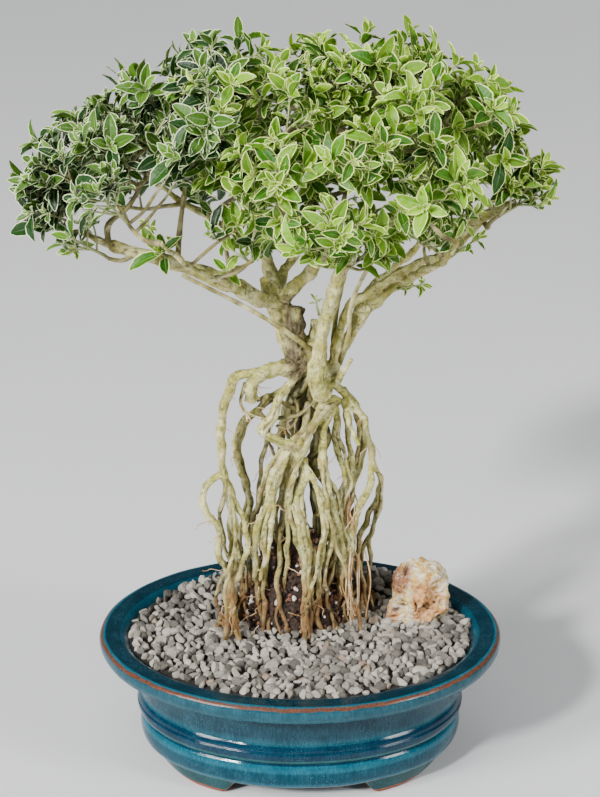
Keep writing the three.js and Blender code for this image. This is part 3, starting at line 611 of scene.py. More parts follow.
ROOTS = routes_of("""
loop_arm 5.6 3: 5 20 268, -9 16 268, -21 12 265, -30 9 258, -32 8 247
mossy_loop 3.3 2.8: -22 12 265, -34 6 267, -41 3 264, -45 0 255, -49 -2 236, -49 -3 216, -48 -3 199
loop_outer 2.6 2.4: -48 -3 203, -57 -6 197, -62 -8 188, -57 -8 174, -51 -5 163, -52 -2 146, -46 4 126
loop_middle 2.6 2.9: -48 -3 203, -44 0 183, -44 4 160, -43 8 130, -46 11 103, -45 12 66
loop_inner 2.1 2: -46 -1 194, -38 -4 176, -33 -8 153, -39 -9 136, -43 -6 110, -40 0 84, -40 2 66
left_thin 2.5 2: 2 19 262, -12 20 249, -26 18 238, -37 14 229, -41 13 210, -36 14 190, -32 18 176, -34 28 150,
    -33 33 105, -33 33 66
inner_twist 3.2 2.8: 0 17 262, -11 9 253, -16 4 242, -24 0 231, -14 -2 225, -4 -1 222
centre_back 2.5 2.2: -4 -1 223, -12 1 215, -20 5 202, -23 12 176, -25 18 138, -22 22 100, -22 22 66
centre_front 2.5 2.3: -4 -2 224, -11 -6 210, -18 -8 190, -28 -7 163, -29 -3 136, -27 4 110, -24 12 84,
    -24 13 66
centre_split 2 1.7: -17 -8 190, -18 -9 167, -20 -8 150, -26 -4 126
centre_straight 2.2 2: -4 -1 222, -8 0 199, -8 -1 150, -11 6 100, -12 8 66
diagonal 3.8 3.2: 20 16 248, 12 9 236, 4 4 227, -1 0 215, 3 -2 206
right_front 3.7 3.2: 2 -1 212, 3 -4 202, -2 -7 188, -1 -9 172, 3 -8 150, 4 -4 120, 2 4 94, 1 6 66
right_knee 3.9 2.6: 24 18 246, 16 10 231, 14 4 215, 17 -1 193, 22 -1 172, 27 3 143, 26 10 112, 23 16 84,
    23 16 66
right_twist 2.5 2.3: 3 -3 209, 11 -6 192, 16 -10 164, 13 -9 144, 12 -5 122, 13 4 102, 17 10 84, 17 10 66
bridge 2.3 2: 23 19 238, 23 16 212, 28 12 197, 26 8 180, 18 6 164, 13 2 144
bridge_outer 2.3 2: 29 23 240, 31 24 212, 33 22 196, 30 20 176, 29 20 140, 32 22 100, 32 22 66
broken_stub 2.9 1.1: 27 23 242, 32 14 228, 37 8 216
right_arm 3.8 2.8: 14 18 261, 24 22 251, 32 22 240, 40 22 229, 44 20 213, 47 18 195
right_arm_front 2.7 3.2: 46 18 200, 44 14 184, 35 7 164, 33 3 143, 28 5 122, 24 13 96, 26 18 66
right_arm_back 2.6 2.3: 47 18 200, 52 23 181, 45 27 158, 39 31 138, 38 35 112, 40 37 66
back_left 3.4 2.3: 5 24 264, -2 36 246, -10 44 220, -12 47 180, -10 46 140, -16 43 66
back_right 3.4 2.4: 14 24 262, 18 38 244, 13 48 216, 8 47 180, 12 45 140, 6 46 66
back_outer 3 2.2: 27 24 248, 36 34 230, 41 42 203, 34 46 166, 26 45 120, 23 45 66
""")
print(len(BRANCHES), "branches and", len(ROOTS), "roots")

# %% Curves and limbs
def curve_through(points, count):
    """Points at equal steps along the centripetal Catmull-Rom curve through the given points: a cubic in
    each gap, whose slopes come from the neighbours, weighed by the square roots of their distances."""
    points = np.array(points, float)
    far = np.vstack([2 * points[0] - points[1], points, 2 * points[-1] - points[-2]])
    gap = np.linalg.norm(np.diff(far, axis=0), axis=1)[:, None] ** 0.5
    before, here, after = gap[:-2], gap[1:-1], gap[2:]
    a, b, c, d = far[:-3], far[1:-2], far[2:-1], far[3:]
    slope_b = ((b - a) / before - (c - a) / (before + here) + (c - b) / here) * here
    slope_c = ((c - b) / here - (d - b) / (here + after) + (d - c) / after) * here

    def at(t):
        spot = t * (len(points) - 1)
        i = np.minimum(spot.astype(int), len(points) - 2)
        w = (spot - i)[:, None]
        return (b[i] + slope_b[i] * w + (-3 * b[i] + 3 * c[i] - 2 * slope_b[i] - slope_c[i]) * w**2
                + (2 * b[i] - 2 * c[i] + slope_b[i] + slope_c[i]) * w**3)

    t = np.linspace(0, 1, 201)
    run = np.append(0, np.cumsum(np.linalg.norm(np.diff(at(t), axis=0), axis=1)))
    return at(np.interp(np.linspace(0, 1, count) * run[-1], run, t))


def limb(route, start, end, seed, sides=12, pitch=1.8, knobs=0.09, lobes=0.07, wander=0.0):
    """A closed tube along a route. Its radius falls evenly from start to end, times 1 + knobs that come and
    go along it, its section is an ellipse with lobes that turns slowly, and it may wander (mm) sideways."""
    length = np.linalg.norm(np.diff(np.array(route, float), axis=0), axis=1).sum()
    spine = curve_through(route, max(3, int(length / pitch) + 1))
    heading = unit(np.gradient(spine, axis=0))
    across = unit(np.cross(heading, np.linalg.svd(heading)[2][-1]))
    other = np.cross(heading, across)
    draw = np.random.default_rng(seed)
    s, phase = np.linspace(0, length, len(spine)), draw.uniform(0, 6.28, 6)
    spine += wander * across * np.sin(s / 3.1 + phase[5])[:, None]
    spine += wander * other * np.sin(s / 4.3 + phase[3])[:, None]
    swell = np.sin(s / 5.2 + phase[0]) + 0.8 * np.sin(s / 2.6 + phase[1]) + 0.5 * np.sin(s / 1.5 + phase[2])
    radius = np.interp(s, [0, length], [start, end]) * (1 + knobs * swell * 0.7)
    turn = np.linspace(0, 2 * np.pi, sides, endpoint=False)[None]
    shape = 1 + lobes * (np.sin(2 * turn + phase[3] + s[:, None] / 30) + 0.7 * np.sin(3 * turn + phase[4]))
    edge = (radius[:, None] * shape)[..., None]
    spoke = across[:, None] * np.cos(turn)[..., None] + other[:, None] * np.sin(turn)[..., None]
    return spine[:, None] + spoke * edge


def melted(parts, voxel, triangles, smoothing=4):
    """Several closed skins as one: the space they fill is cut into voxels (mm), wrapped again, smoothed, and
    thinned to the number of triangles."""
    points, faces = gathered(parts)
    mesh = bpy.data.meshes.new("raw")
    mesh.from_pydata(points / 1000, [], [tuple(f) for group in faces for f in group.tolist()])
    raw = bpy.data.objects.new("raw", mesh)
    bpy.context.scene.collection.objects.link(raw)
    wrap = raw.modifiers.new("wrap", "REMESH")
    wrap.mode, wrap.voxel_size = "VOXEL", voxel / 1000
    smooth = raw.modifiers.new("smooth", "SMOOTH")
    smooth.factor, smooth.iterations = 0.5, smoothing
    found = raw.evaluated_get(bpy.context.evaluated_depsgraph_get()).to_mesh()
    thin = raw.modifiers.new("thin", "DECIMATE")
    thin.ratio = min(1, triangles / (2 * len(found.polygons)))
    wrapped = bpy.data.meshes.new_from_object(raw.evaluated_get(bpy.context.evaluated_depsgraph_get()))
    wrapped.calc_loop_triangles()
    corners = np.empty(len(wrapped.loop_triangles) * 3, np.int32)
    wrapped.loop_triangles.foreach_get("vertices", corners)
    places, facing = (np.empty(len(wrapped.vertices) * 3) for _ in range(2))
    wrapped.vertices.foreach_get("co", places)
    wrapped.vertex_normals.foreach_get("vector", facing)
    bpy.data.objects.remove(raw)
    return places.reshape(-1, 3) * 1000, facing.reshape(-1, 3), [corners.reshape(-1, 3)]


THICK = 2.0  # mm: from this start radius on, a limb is melted in
routes = {**BRANCHES, **ROOTS}
skins, thin_routes = [], []
for seed, (name, (start, end, *route)) in enumerate(routes.items()):
    if start >= THICK:
        is_inner = name[:6] in ("centre", "right_")
        is_covered = name in ("trunk_right", "limb_right", "bark_stub")
        fuller = (0.79 if is_inner else 0.94) if name in ROOTS else 0.72 if is_covered else 0.96
        skins.append(sleeve(limb(route, fuller * start, fuller * end, seed, 14, wander=0.5, knobs=0.11)))
    else:
        thin_routes.append((route, start, end))
# the old wood at the fork, the thick shoulder root, the pale limb in front and the two long limbs
SWELLINGS = routes_of("""
left_trunk 5.4 5.2: 0 20 266, -6 22 276, -11 25 288, -15 29 298, -18 32 307, -21 36 320
dark_stub 6.5 6: 4 21 264, -1 20 275, -3 20 287, -3.5 23 305
mound 4.6 3.9: 8 23 266, 8 24 274, 9 26 285, 10 28 294
shoulder_root 5.6 3.6: -4 18 266, -18 13 267, -27 9 263, -31 8 256, -29 8 247
knob 6.6 4.8: 16 9 250, 12 8 256, 10 8 264, 11 9 272, 12 10 279
pale_front_limb 4.6 3.9: 11 9 268, 12 10 279, 15 11 297, 20 9 315, 24 6 331, 28 5 345
left_limb 5.2 3.2: -14 29 304, -24 22 310, -37 9 322, -51 3 331, -66 0 339, -84 -2 346, -102 -2 351,
    -114 -2 355
upper_right_strand 3.5 2.7: 17 21 258, 20 22 264, 22 22 276, 25 22 289, 28 22 300, 32 22 308, 41 20 314,
    51 18 322, 62 16 330, 76 12 340
right_stub 2.8 1.3: 21 18 254, 25 16 260, 29 13 268, 32 10 275
long_right_limb 4.4 3: 36 28 298, 47 26 313, 61 22 326, 74 18 334, 88 18 341, 94 17 351, 101 14 362,
    110 10 369, 120 6 375, 130 4 380
""")
for seed, (start, end, *route) in enumerate(SWELLINGS.values()):
    skins.append(sleeve(limb(route, start, end, 80 + seed, 16, knobs=0.12, lobes=0.12)))
points, facing, faces = melted(skins, 0.62, 160000, 3)
print("wood skin:", len(points), "points, from", len(skins), "limbs")

# %% Bark relief and its patterns
def bark_patterns(points, facing):
    """Where bark is green, rusty or cracked, each from 0 to 1: green on what faces up, in patches; rusty
    near the gravel, because that part was last under ground; cracked at the fork, which is the oldest."""
    x, y, z = points.T
    green = np.clip(0.62 + 0.4 * facing[:, 2] + 0.5 * ripple(points, 24, 5) + 0.3 * ripple(points, 7, 6), 0, 1)
    green *= np.interp(z, [85, 125, 200, 270, 300, 480], [0.15, 0.5, 0.9, 1, 0.8, 0.55])
    inner = np.clip(1.3 - np.hypot((x + 3) / 30, (y - 17) / 18), 0, 1)
    rusty = np.clip(np.interp(z + 9 * ripple(points, 14, 7) - 26 * inner, [102, 140], [1, 0]), 0, 1)
    core = np.hypot((x + 2.5) / 6.5, (y - 20) / 12)
    cracked = np.clip(1.7 - core, 0, 1) * np.interp(z, [256, 268, 305, 314], [0, 1, 1, 0])
    return green, rusty, np.clip(cracked + 0.35 * ripple(points, 12, 8) * (cracked > 0.05), 0, 1)


def bark_relief(points, cracked, rusty):
    """How far the bark stands out, in mm: soft lumps, long and cross creases where a ripple passes through
    zero, deeper ones where it is cracked, and fibres along the rusty feet. Also where the creases lie, from
    0 to 1, which the bark's colour darkens as painted shade."""
    lumps = 0.26 * ripple(points, 6.5, 21) + 0.12 * ripple(points, 2.6, 22)
    crossing = np.clip(0.16 - np.abs(ripple(points * [0.5, 0.5, 1.6], 9, 23)), 0, 1)
    running = np.clip(0.22 - np.abs(ripple(points * [1.6, 1.6, 0.5], 7, 24)), 0, 1)
    creases = 1.8 * crossing + (1.3 + 8 * cracked) * running
    return lumps - creases + 0.4 * rusty * ripple(points * [1, 1, 0.3], 2.4, 25), np.clip(3.0 * creases, 0, 1)


green, rusty, cracked = bark_patterns(points, facing)
relief, hollow = bark_relief(points, cracked, rusty)
points += facing * relief[:, None]

bark = new_finish("bark", Roughness=0.8)
wood = blend(step_up(mottle(8, 5), 0.3, 0.7), (0.38, 0.32, 0.075), (0.88, 0.82, 0.40))
wood = blend(step_up(mottle(12, 4), 0.5, 0.72), wood, (0.93, 0.90, 0.56))
algae = blend(step_up(mottle(3.5, 5), 0.3, 0.7), (0.10, 0.12, 0.006), (0.50, 0.50, 0.06))
wood = blend(pattern_of("green") * step_up(mottle(2.2, 5), 0.30, 0.60) * 0.9, wood, algae)
foot = blend(mottle(2.6, 5, (1, 1, 0.3)), (0.075, 0.024, 0.008), (0.54, 0.26, 0.085))
wood = blend(pattern_of("rusty") * 0.92, wood, foot)
old = step_up(mottle(1.9, 6, (1, 1, 0.35), 0.7), 0.38, 0.66)
wood = blend(pattern_of("cracked") * 0.9, wood, blend(old, (0.012, 0.007, 0.005), (0.22, 0.145, 0.085)))
rings = mottle(1.5, 4, (0.35, 0.35, 1.6), 0.7)
wood = blend((1.0 - step_up(rings, 0.32, 0.42)) * 0.7, wood, (0.09, 0.055, 0.025))
# Painted shade: dark in the bark's creases on the melted wood; on fine roots and twigs hollow is random.
dirt_and_crease_shade = step_up(pattern_of("hollow"), 0.1, 0.9) * step_up(mottle(4, 5), 0.28, 0.6)
wood = blend(dirt_and_crease_shade * 0.85, wood, (0.060, 0.050, 0.010))
wood = blend(step_up(mottle(0.8, 4, roughness=0.7), 0.56, 0.66) * 0.48, wood, (0.16, 0.13, 0.04))
# shade darkens the bark: at random, and as painted shade on the roots at the back of the cage.
darker = add("HueSaturation", {"Color": wood, "Value": 0.40, "Saturation": 1.1})
wire(blend(pattern_of("shade"), wood, darker), rings + mottle(0.9, 5, roughness=0.7), 0.8)
# Painted shade: the roots behind, below the fork, get darker towards the back.
behind = np.interp(points[:, 1], [14, 42], [0, 0.7]) * (points[:, 2] < 262)
new_piece("wood_melted", points, faces, bark, "bark", "tree_wood", green=green, rusty=rusty, cracked=cracked,
          hollow=hollow, shade=np.clip(0.3 * ripple(points, 30, 9) + behind, 0, 1))

# %% [markdown]
# ## Fine roots
# Between the legs run thinner roots that cross, wind round the thick ones and fill the cage from behind, and
# each leg splits into toes where it meets the gravel. They stay separate tubes, not melted in, because that
# keeps the dark gaps between them. The finest are pale rootlets, hardly 0.6 mm thick.

# %% Companion roots, knots and toes
KNOTS = routes_of("""
loop_behind 2.1 1.7: 1 24 256, -6 28 240, -8 30 228, -6 30 216, -2 26 208, -4 22 191
curl_in_front 1.5 1.1: -6 17 246, -1 12 242, -3 8 233, -9 6 229, -15 8 230
over_the_left 2.6 1.6: 5 18 242, 4 10 235, 1 4 228, -6 0 221, -12 -4 213, -18 -6 200, -21 -6 181, -28 -4 156,
    -27 0 130, -26 6 106, -27 8 80
collar 1.8 1.5: -27 20 243, -18 16 247, -8 14 242, 2 14 236
left_curl 1.2 0.8: -34 8 260, -37 6 250, -34 6 241, -27 6 237, -16 6 237
over_the_front 2.7 1.8: 24 14 244, 15 8 240, 9 2 234, 4 -2 222, -1 -6 210, -6 -8 194, -6 -7 176, 1 -2 142,
    4 6 118, 6 10 80
left_back 2 1.5: -20 10 250, -26 16 238, -20 22 222, -24 26 200, -28 24 160, -30 26 80
inner_curl 1.6 1.2: 10 10 246, 2 8 240, -8 8 236, -18 12 232, -22 16 220, -16 18 205
""")


def companion(route, draw, start, end, apart):
    """A thinner root that leaves another one, winds round it at apart mm and spreads out at the foot."""
    spine = curve_through(route, 30)[draw.integers(0, 9)::3]
    share = np.linspace(0, 1, len(spine))
    angle = draw.uniform(0, 6.28) + draw.uniform(-4.5, 4.5) * share
    away = apart * np.minimum(1, 3.5 * share) * draw.uniform(0.6, 1.2, len(spine)) * (1 + 0.6 * share**3)
    aside = np.stack([np.cos(angle), np.sin(angle), draw.uniform(-0.2, 0.2, len(spine))], -1)
    return start, end, *(spine + away[:, None] * aside)


def back_root(draw):
    """A root that comes down inside the cage: out from the crown, along a wavy line, to a foot behind."""
    foot = np.array([draw.uniform(-30, 34), draw.uniform(18, 46), 70])
    share = np.linspace(0, 1, 9)[:, None]
    spine = np.array([4, 26, 256]) * (1 - share) + foot * share + draw.normal(size=(9, 3)) * [4, 4, 2]
    return draw.uniform(1.8, 2.6), 1.4, *(spine + [[0, 8, 0]] * np.sin(np.pi * share))


draw = np.random.default_rng(31)
standing = [route for _, _, *route in ROOTS.values() if route[-1][2] < 70]
fine = [companion(route, draw, draw.uniform(1.1, 1.9), draw.uniform(0.8, 1.2), draw.uniform(5, 10))
        for route in standing for _ in range(2)]
fine += [companion(ROOTS[name][2:], draw, draw.uniform(1.0, 1.6), 0.7, draw.uniform(3, 6))
         for name in ("inner_twist", "diagonal", "bridge", "right_knee", "right_twist", "diagonal")]
fine += [back_root(draw) for _ in range(9)]
fine += [(0.85 * start, 0.85 * end, *route) for start, end, *route in KNOTS.values()]
for route in standing + [route for _, _, *route in fine if route[-1][2] < 82]:
    spine = curve_through(route, 60)
    for _ in range(3):
        start = spine[np.argmin(np.abs(spine[:, 2] - draw.uniform(88, 112)))]
        angle, reach = draw.uniform(0, 6.28), draw.uniform(2, 9)
        end = start + [reach * np.cos(angle), reach * np.sin(angle), 0]
        end[2] = 83
        middle = (start + end) / 2 + draw.normal(size=3) * 1.8 + [0, 0, 2]
        fine.append((draw.uniform(1.0, 1.9), draw.uniform(0.5, 0.9), start, middle, end, end + [0, 0, -5]))
tubes = [sleeve(limb(route, start, end, 200 + seed, 8, 2.1, 0.14, 0.12, 0.5))
         for seed, (start, end, *route) in enumerate(fine)]
points, faces = gathered(tubes)
shade = np.repeat(draw.uniform(0, 1, len(tubes)), [len(tube) for tube, _ in tubes])
x, y, _ = points.T
green, rusty, _ = bark_patterns(points, np.zeros_like(points))
# Painted shade: the fine roots get darker towards the back (less on the right) and the cage's middle.
behind = np.interp(y, [8, 40], [-0.1, 0.7])
new_piece("fine_roots", points, faces, bark, "bark", "tree_wood", green=0.7 * green,
          # Painted shade, not cracks: cracked darkens the fine roots towards the middle of the cage.
          cracked=0.55 * np.clip(1.35 - np.hypot((x + 1) / 34, (y - 19) / 24), 0, 1),
          rusty=np.clip(rusty + 0.25 * ripple(points, 15, 34), 0, 1),
          hollow=np.clip(ripple(points, 5, 35), 0, 1),
          shade=np.clip(0.6 * shade + behind, 0, 1) * np.interp(x, [28, 40], [1, 0.35]))
print(len(fine), "fine roots")

# %% Pale rootlets
def rootlet(start, draw, length):
    """A hair-thin root that wanders down and out from a point on a root."""
    steps = draw.normal(size=(7, 3)) * [1, 1, 0.7] + [0, 0, -0.8] + draw.normal(size=3) * [0.9, 0.9, 0.2]
    route = start + np.cumsum(unit(steps), 0) * length / 7
    route[:, 2] = np.maximum(route[:, 2], 87)
    return sleeve(limb([start, *route], draw.uniform(0.3, 0.45), 0.16, 7, 5, 2.0, 0, 0))


hairs = []
for _, _, *route in [r for r in [*ROOTS.values(), *KNOTS.values()] if len(r) > 6]:
    spine = curve_through(route, 60)
    for _ in range(7):
        start = spine[int(60 * draw.uniform(0.1, 0.98) ** 0.6)]
        low = start[2] < 130
        hairs.append(rootlet(start, draw, draw.uniform(14, 34) if low else draw.uniform(6, 16)))
for start, end in (((34, 14, 176), (30, 2, 160)), ((33, 4, 140), (36, 0, 96))):
    for _ in range(13):
        first, last = (np.array(spot) + draw.normal(size=3) * [3.5, 2.5, 4] for spot in (start, end))
        bow = (first + last) / 2 + draw.normal(size=3) * 4
        hairs.append(sleeve(limb([first, bow, last], 0.5, 0.3, 8, 5, 2.0, 0, 0)))
points, faces = gathered(hairs)
rootlet_finish = new_finish("rootlet_pale", Roughness=0.7)
wire(ramp(mottle(9, 3), (0.35, 0.36, 0.17, 0.06), (0.5, 0.52, 0.33, 0.15), (0.65, 0.74, 0.64, 0.46)),
     mottle(0.7, 2), 0.1)
new_piece("rootlets", points, faces, rootlet_finish, "bark")

# %% [markdown]
# ## Where the leafy shoots stand
# The crown is an umbrella of shoots. Their places come from the same rule and the same seeded row of
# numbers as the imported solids, so that every fine shoot stands exactly where its solid does. The twigs
# that carry them start from the nearest wood below and turn up at the end.

# %% The crown's plan
UNDERSIDE = [  # x and height of the crown's lower edge at y = 0, in mm
    (-167, 358), (-145, 347), (-134, 347), (-126, 355), (-113, 376), (-96, 380), (-75, 387), (-60, 380),
    (-52, 350), (-40, 340), (-30, 336), (-15, 346), (-9, 338), (27, 336), (39, 330), (62, 333), (66, 340),
    (87, 346), (96, 362), (119, 381), (138, 376), (151, 378), (158, 396)]
END_SHOOTS = [((-153, -3, 400), (-0.7, -0.1, 0.6)), ((143, -2, 390), (0.8, -0.1, 0.6)),
              ((-134, -26, 368), (-0.5, -0.5, 0.5)), ((-131, 14, 428), (-0.6, 0.1, 0.8)),
              ((124, 8, 426), (0.6, 0, 0.8)), ((95, 4, 450), (0.4, 0, 0.9))]
SPRAY_COUNT, CROWN_SEED, DARK_BOUNDARY = 29, 71, -45


def seeded_random(seed):
    """A row of numbers from 0 to 1 that is always the same for a seed, by 32-bit shuffling."""
    state, mask = seed, 0xFFFFFFFF

    def draw():
        nonlocal state
        state = (state + 0x6D2B79F5) & mask
        t = ((state ^ (state >> 15)) * (1 | state)) & mask
        t = ((t + (((t ^ (t >> 7)) * (61 | t)) & mask)) & mask) ^ t
        return ((t ^ (t >> 14)) & mask) / 4294967296

    return draw


def above(points):
    """Whether points (..., 3) lie above the crown's lower edge, which rises to the front by 0.456 mm a mm."""
    return points[..., 2] > np.interp(points[..., 0], *zip(*UNDERSIDE)) - 0.456 * points[..., 1]


def crown_plan():
    """Tip, lean, roll and share of each shoot: the placed ones, then a golden-angle spiral over a dome that
    falls as share^2.8, with every third shoot a storey lower."""
    draw = seeded_random(CROWN_SEED)
    plan = [(np.array(tip, float), unit(np.array(lean)), draw() * np.pi, 1.0) for tip, lean in END_SHOOTS]
    for i in range(SPRAY_COUNT):
        share = ((i + 0.6) / SPRAY_COUNT) ** 0.5
        angle = i * 2.399963 + 0.5 + 0.25 * (draw() - 0.5)
        across, deep = share * np.cos(angle), share * np.sin(angle)
        is_low = i % 3 == 1 and share < 0.9 and (deep > 0 or abs(across) < 0.3)
        tip = np.array([-5 + 152 * across + 8 * (draw() - 0.5), 6 + 114 * deep + 8 * (draw() - 0.5),
                        470 - 78 * share**2.8 + 8 * (draw() - 0.5) - (38 if is_low else 0)])
        tip[2] += 0.03 * tip[0] - 0.08 * tip[1]
        spread = 1 if is_low else 0.75
        lean, roll = unit(np.array([spread * across, spread * deep, 0.85])), draw() * np.pi
        if all(np.linalg.norm(end[0] - tip) > 36 for end in plan[:len(END_SHOOTS)]):
            plan.append((tip, lean, roll, share))
    return plan


def twig_routes(plan):
    """From the nearest lower wood to each shoot's foot: start, middle, elbow, foot."""
    def spots(points):
        bends = curve_through(points, len(points))
        return [spot for near, far in zip(bends, bends[1:]) for spot in ((near + far) / 2, far)]

    nodes = [spot for _, _, *route in BRANCHES.values() for spot in spots(route) if spot[2] > 315]
    routes = []
    for tip, lean, _, _ in sorted(plan, key=lambda shoot: shoot[3]):
        foot = tip - 30 * lean
        reach = [np.linalg.norm(spot - foot) + 3 * max(0, spot[2] + 10 - foot[2]) for spot in nodes]
        start, elbow = nodes[int(np.argmin(reach))], foot - 7 * lean
        middle = start + 0.55 * (elbow - start) + [0, 0, -3]
        routes.append([start, middle, elbow, foot])
        nodes += spots(routes[-1])[1:5]
    return routes


# tips of leafy sprigs in mm, x y z, that hang lower in front and fill the crown's edge
HANGING = np.array([tip.split() for tip in """
-44 -55 419, -39 -45 396, -32 -20 366, -42 -8 374, -34 -12 363, -25 -24 372, -9 -62 401, 17 -50 372,
27 -62 388, 0 -55 384, 12 -45 370, 36 -40 372, 46 -55 393, 58 -60 401, 79 -45 386, 105 -20 388, 38 -24 368,
48 -24 375, 57 -18 373, 68 -18 380, 84 -12 384, 30 -30 366, -121 -3 394, -118 0 388, 132 10 397, 147 -2 401,
-158 -8 398, -150 -14 384, -25 -80 438, 25 -85 440, 79 -60 442, 53 -70 429, -67 -70 440, -88 -60 422,
0 84 420, 48 78 424, -52 80 424, 90 52 420, 100 92 368, 91 84 374, 105 84 380, 84 96 382, 12 102 376,
2 96 382, -104 82 394, -95 88 400, 60 84 392, -96 50 420, 20 100 404, -20 102 404, -70 20 448, -74 -10 468,
-65 20 474, -55 -20 478, -44 10 476, -30 -10 472, -46 -50 474, 35 0 480, 49 -10 476, 64 20 474, 75 0 475,
87 -20 470, 105 0 460, 116 10 450, 118 -20 448, -107 0 440, -96 -30 441, -88 -20 428, -75 -50 440,
-89 -40 411, -10 -40 468, -9 10 466, -8 -60 458, -148 0 420, -148 -20 416, -154 -10 389, -156 -2 376,
-120 20 444, -114 -55 408, -56 -60 462
""".split(",")], float)
plan = crown_plan()
names = [f"spray_{'dark' if tip[0] < DARK_BOUNDARY else 'lime'}_{i:02d}" for i, (tip, *_) in enumerate(plan, 1)]
print("planned shoots match the packed ones:", sorted(names) == SPRAY_NODES)

# %% Thin branches and twigs
stalks = twig_routes(plan)
carriers = np.vstack([curve_through(stalk, 12)[3:] for stalk in stalks] + [
    curve_through(route, 40) for _, _, *route in BRANCHES.values()])
carriers = carriers[carriers[:, 2] > 300]
sprig_stalks, draw = [], np.random.default_rng(15)
for tip in HANGING:
    lean = unit(np.append(tip[:2] / [150, 110], 0.9))
    foot = tip - draw.uniform(14, 20) * lean
    reach = np.linalg.norm(carriers - foot, axis=1) + np.maximum(0, carriers[:, 2] - foot[2])
    start = carriers[np.argmin(reach)]
    middle = start + 0.5 * (foot - start) + draw.normal(size=3) * 1.5 + [0, 0, -1]
    sprig_stalks.append([start, middle, start + 0.85 * (foot - start), foot])
parts = [sleeve(limb(route, start, end, 60 + i, 8, 2.5)) for i, (route, start, end) in enumerate(thin_routes)]
parts += [sleeve(limb(route, 1.75, 1.15, 90 + i, 8, 2.5, 0.09, 0.1, 0.35)) for i, route in enumerate(stalks)]
parts += [sleeve(limb(route, 1.2, 0.8, 130 + i, 7, 2.5, 0.07)) for i, route in enumerate(sprig_stalks)]
points, faces = gathered(parts)
z = points[:, 2]
new_piece("twigs", points, faces, bark, "bark", "tree_wood",
          green=np.clip(0.35 + 0.5 * ripple(points, 18, 31), 0, 1), rusty=np.full(len(z), 0.1),
          cracked=np.clip(np.interp(z, [330, 350], [0, 0.4]) + 0.4 * ripple(points, 9, 32), 0, 0.7),
          hollow=np.clip(0.2 + 0.3 * ripple(points, 4, 33), 0, 1),
          shade=np.clip(0.3 + 0.4 * ripple(points, 40, 36), 0, 1))

# %% [markdown]
# ## Leaves
# The leaves stand in opposite pairs, each pair a quarter turn from the last, and crowd into rosettes at the
# tips. One blade is a pointed ellipse that arches along its length, folds a little along the midrib and
# waves at its edge. Its top and underside are two grids that share their rim, so a blade is closed. All the
# blades of a shoot are worked out at once. Each point knows how far it is from the rim and from the midrib,
# in mm, so the cream margin keeps the same width up to the tip, as it does on the plant.

# %% Blades
ALONG = np.array([0.04, 0.16, 0.35, 0.57, 0.78, 0.94])
ALONG_INSIDE = np.array([0.05, 0.20, 0.44, 0.70, 0.92])  # a row less, for leaves inside the crown
ACROSS = np.array([-1, -0.55, 0, 0.55, 1, 0])


def blade_faces(count):
    """Point numbers of one blade: count rows of 5 points on top and 1 below, then the base and the tip."""
    rows = np.arange(count) * 6
    base, tip = 6 * count, 6 * count + 1
    quads, ends = [], []
    for columns, is_top in ((np.arange(5), True), (np.array([0, 5, 4]), False)):
        near, far = columns[:-1], columns[1:]
        grid = np.stack([rows[:-1, None] + near, rows[1:, None] + near, rows[1:, None] + far,
                         rows[:-1, None] + far], -1).reshape(-1, 4)
        first = np.stack([np.full(len(near), base), near, far], -1)
        last = np.stack([np.full(len(near), tip), rows[-1] + far, rows[-1] + near], -1)
        quads.append(grid if is_top else grid[:, ::-1])
        ends += [first, last] if is_top else [first[:, ::-1], last[:, ::-1]]
    return np.vstack(quads), np.vstack(ends)


def blades(base, heading, upward, length, width, tone, age, draw, along=ALONG):
    """All blades at once. Half-width w(t) = width/2 sin(pi t^0.95)^0.66; height = arch sin(pi t) - droop
    t^2 + fold |v| w + a wave at the rim. The underside lies 0.36 mm below the rib."""
    count, rows = len(base), len(along)
    t = np.append(np.repeat(along, 6), [0, 1])[None]
    v = np.append(np.tile(ACROSS, rows), [0, 0])[None]
    under = np.append(np.tile([0, 0, 0, 0, 0, 1], rows), [0, 0])[None]
    size, half = length[:, None], width[:, None] / 2
    w = half * np.sin(np.pi * t**0.95) ** 0.66
    w[:, -2:] = 0
    arch, droop = draw.uniform(0.02, 0.10, (count, 1)), draw.uniform(-0.04, 0.16, (count, 1))
    fold, wave = draw.uniform(0.1, 0.7, (count, 1)), draw.uniform(0.0, 0.05, (count, 1))
    lift = size * (arch * np.sin(np.pi * t) - droop * t**2) + fold * np.abs(v) * w
    lift += size * wave * np.abs(v) * np.sin(9 * t + draw.uniform(0, 6.28, (count, 1)) + 2 * v)
    lift = lift - 0.36 * under - 0.22 * (v == 0) * (1 - under)
    sway = size * draw.uniform(-0.07, 0.07, (count, 1)) * t**2
    side = np.cross(upward, heading)
    points = (base[:, None] + heading[:, None] * (size * t)[..., None]
              + side[:, None] * (v * w + sway)[..., None] + upward[:, None] * lift[..., None])
    leaf = np.stack([np.broadcast_to(t, w.shape), (1 - np.abs(v)) * w, np.abs(v) * w], -1)
    quads, ends = blade_faces(rows)
    shift = (np.arange(count) * t.shape[1])[:, None, None]
    faces = [(quads + shift).reshape(-1, 4), (ends + shift).reshape(-1, 3)]
    spread = [np.repeat(values, t.shape[1]) for values in (tone, age)]
    return points.reshape(-1, 3), faces, leaf.reshape(-1, 3), *spread


# %% Shoots
def spokes(axis, turns):
    """Directions square to the axis, one for each turn in radians."""
    across = unit(np.array([-axis[2], 0, axis[0]]))
    other = np.cross(axis, across)
    return across * np.cos(turns)[:, None] + other * np.sin(turns)[:, None]


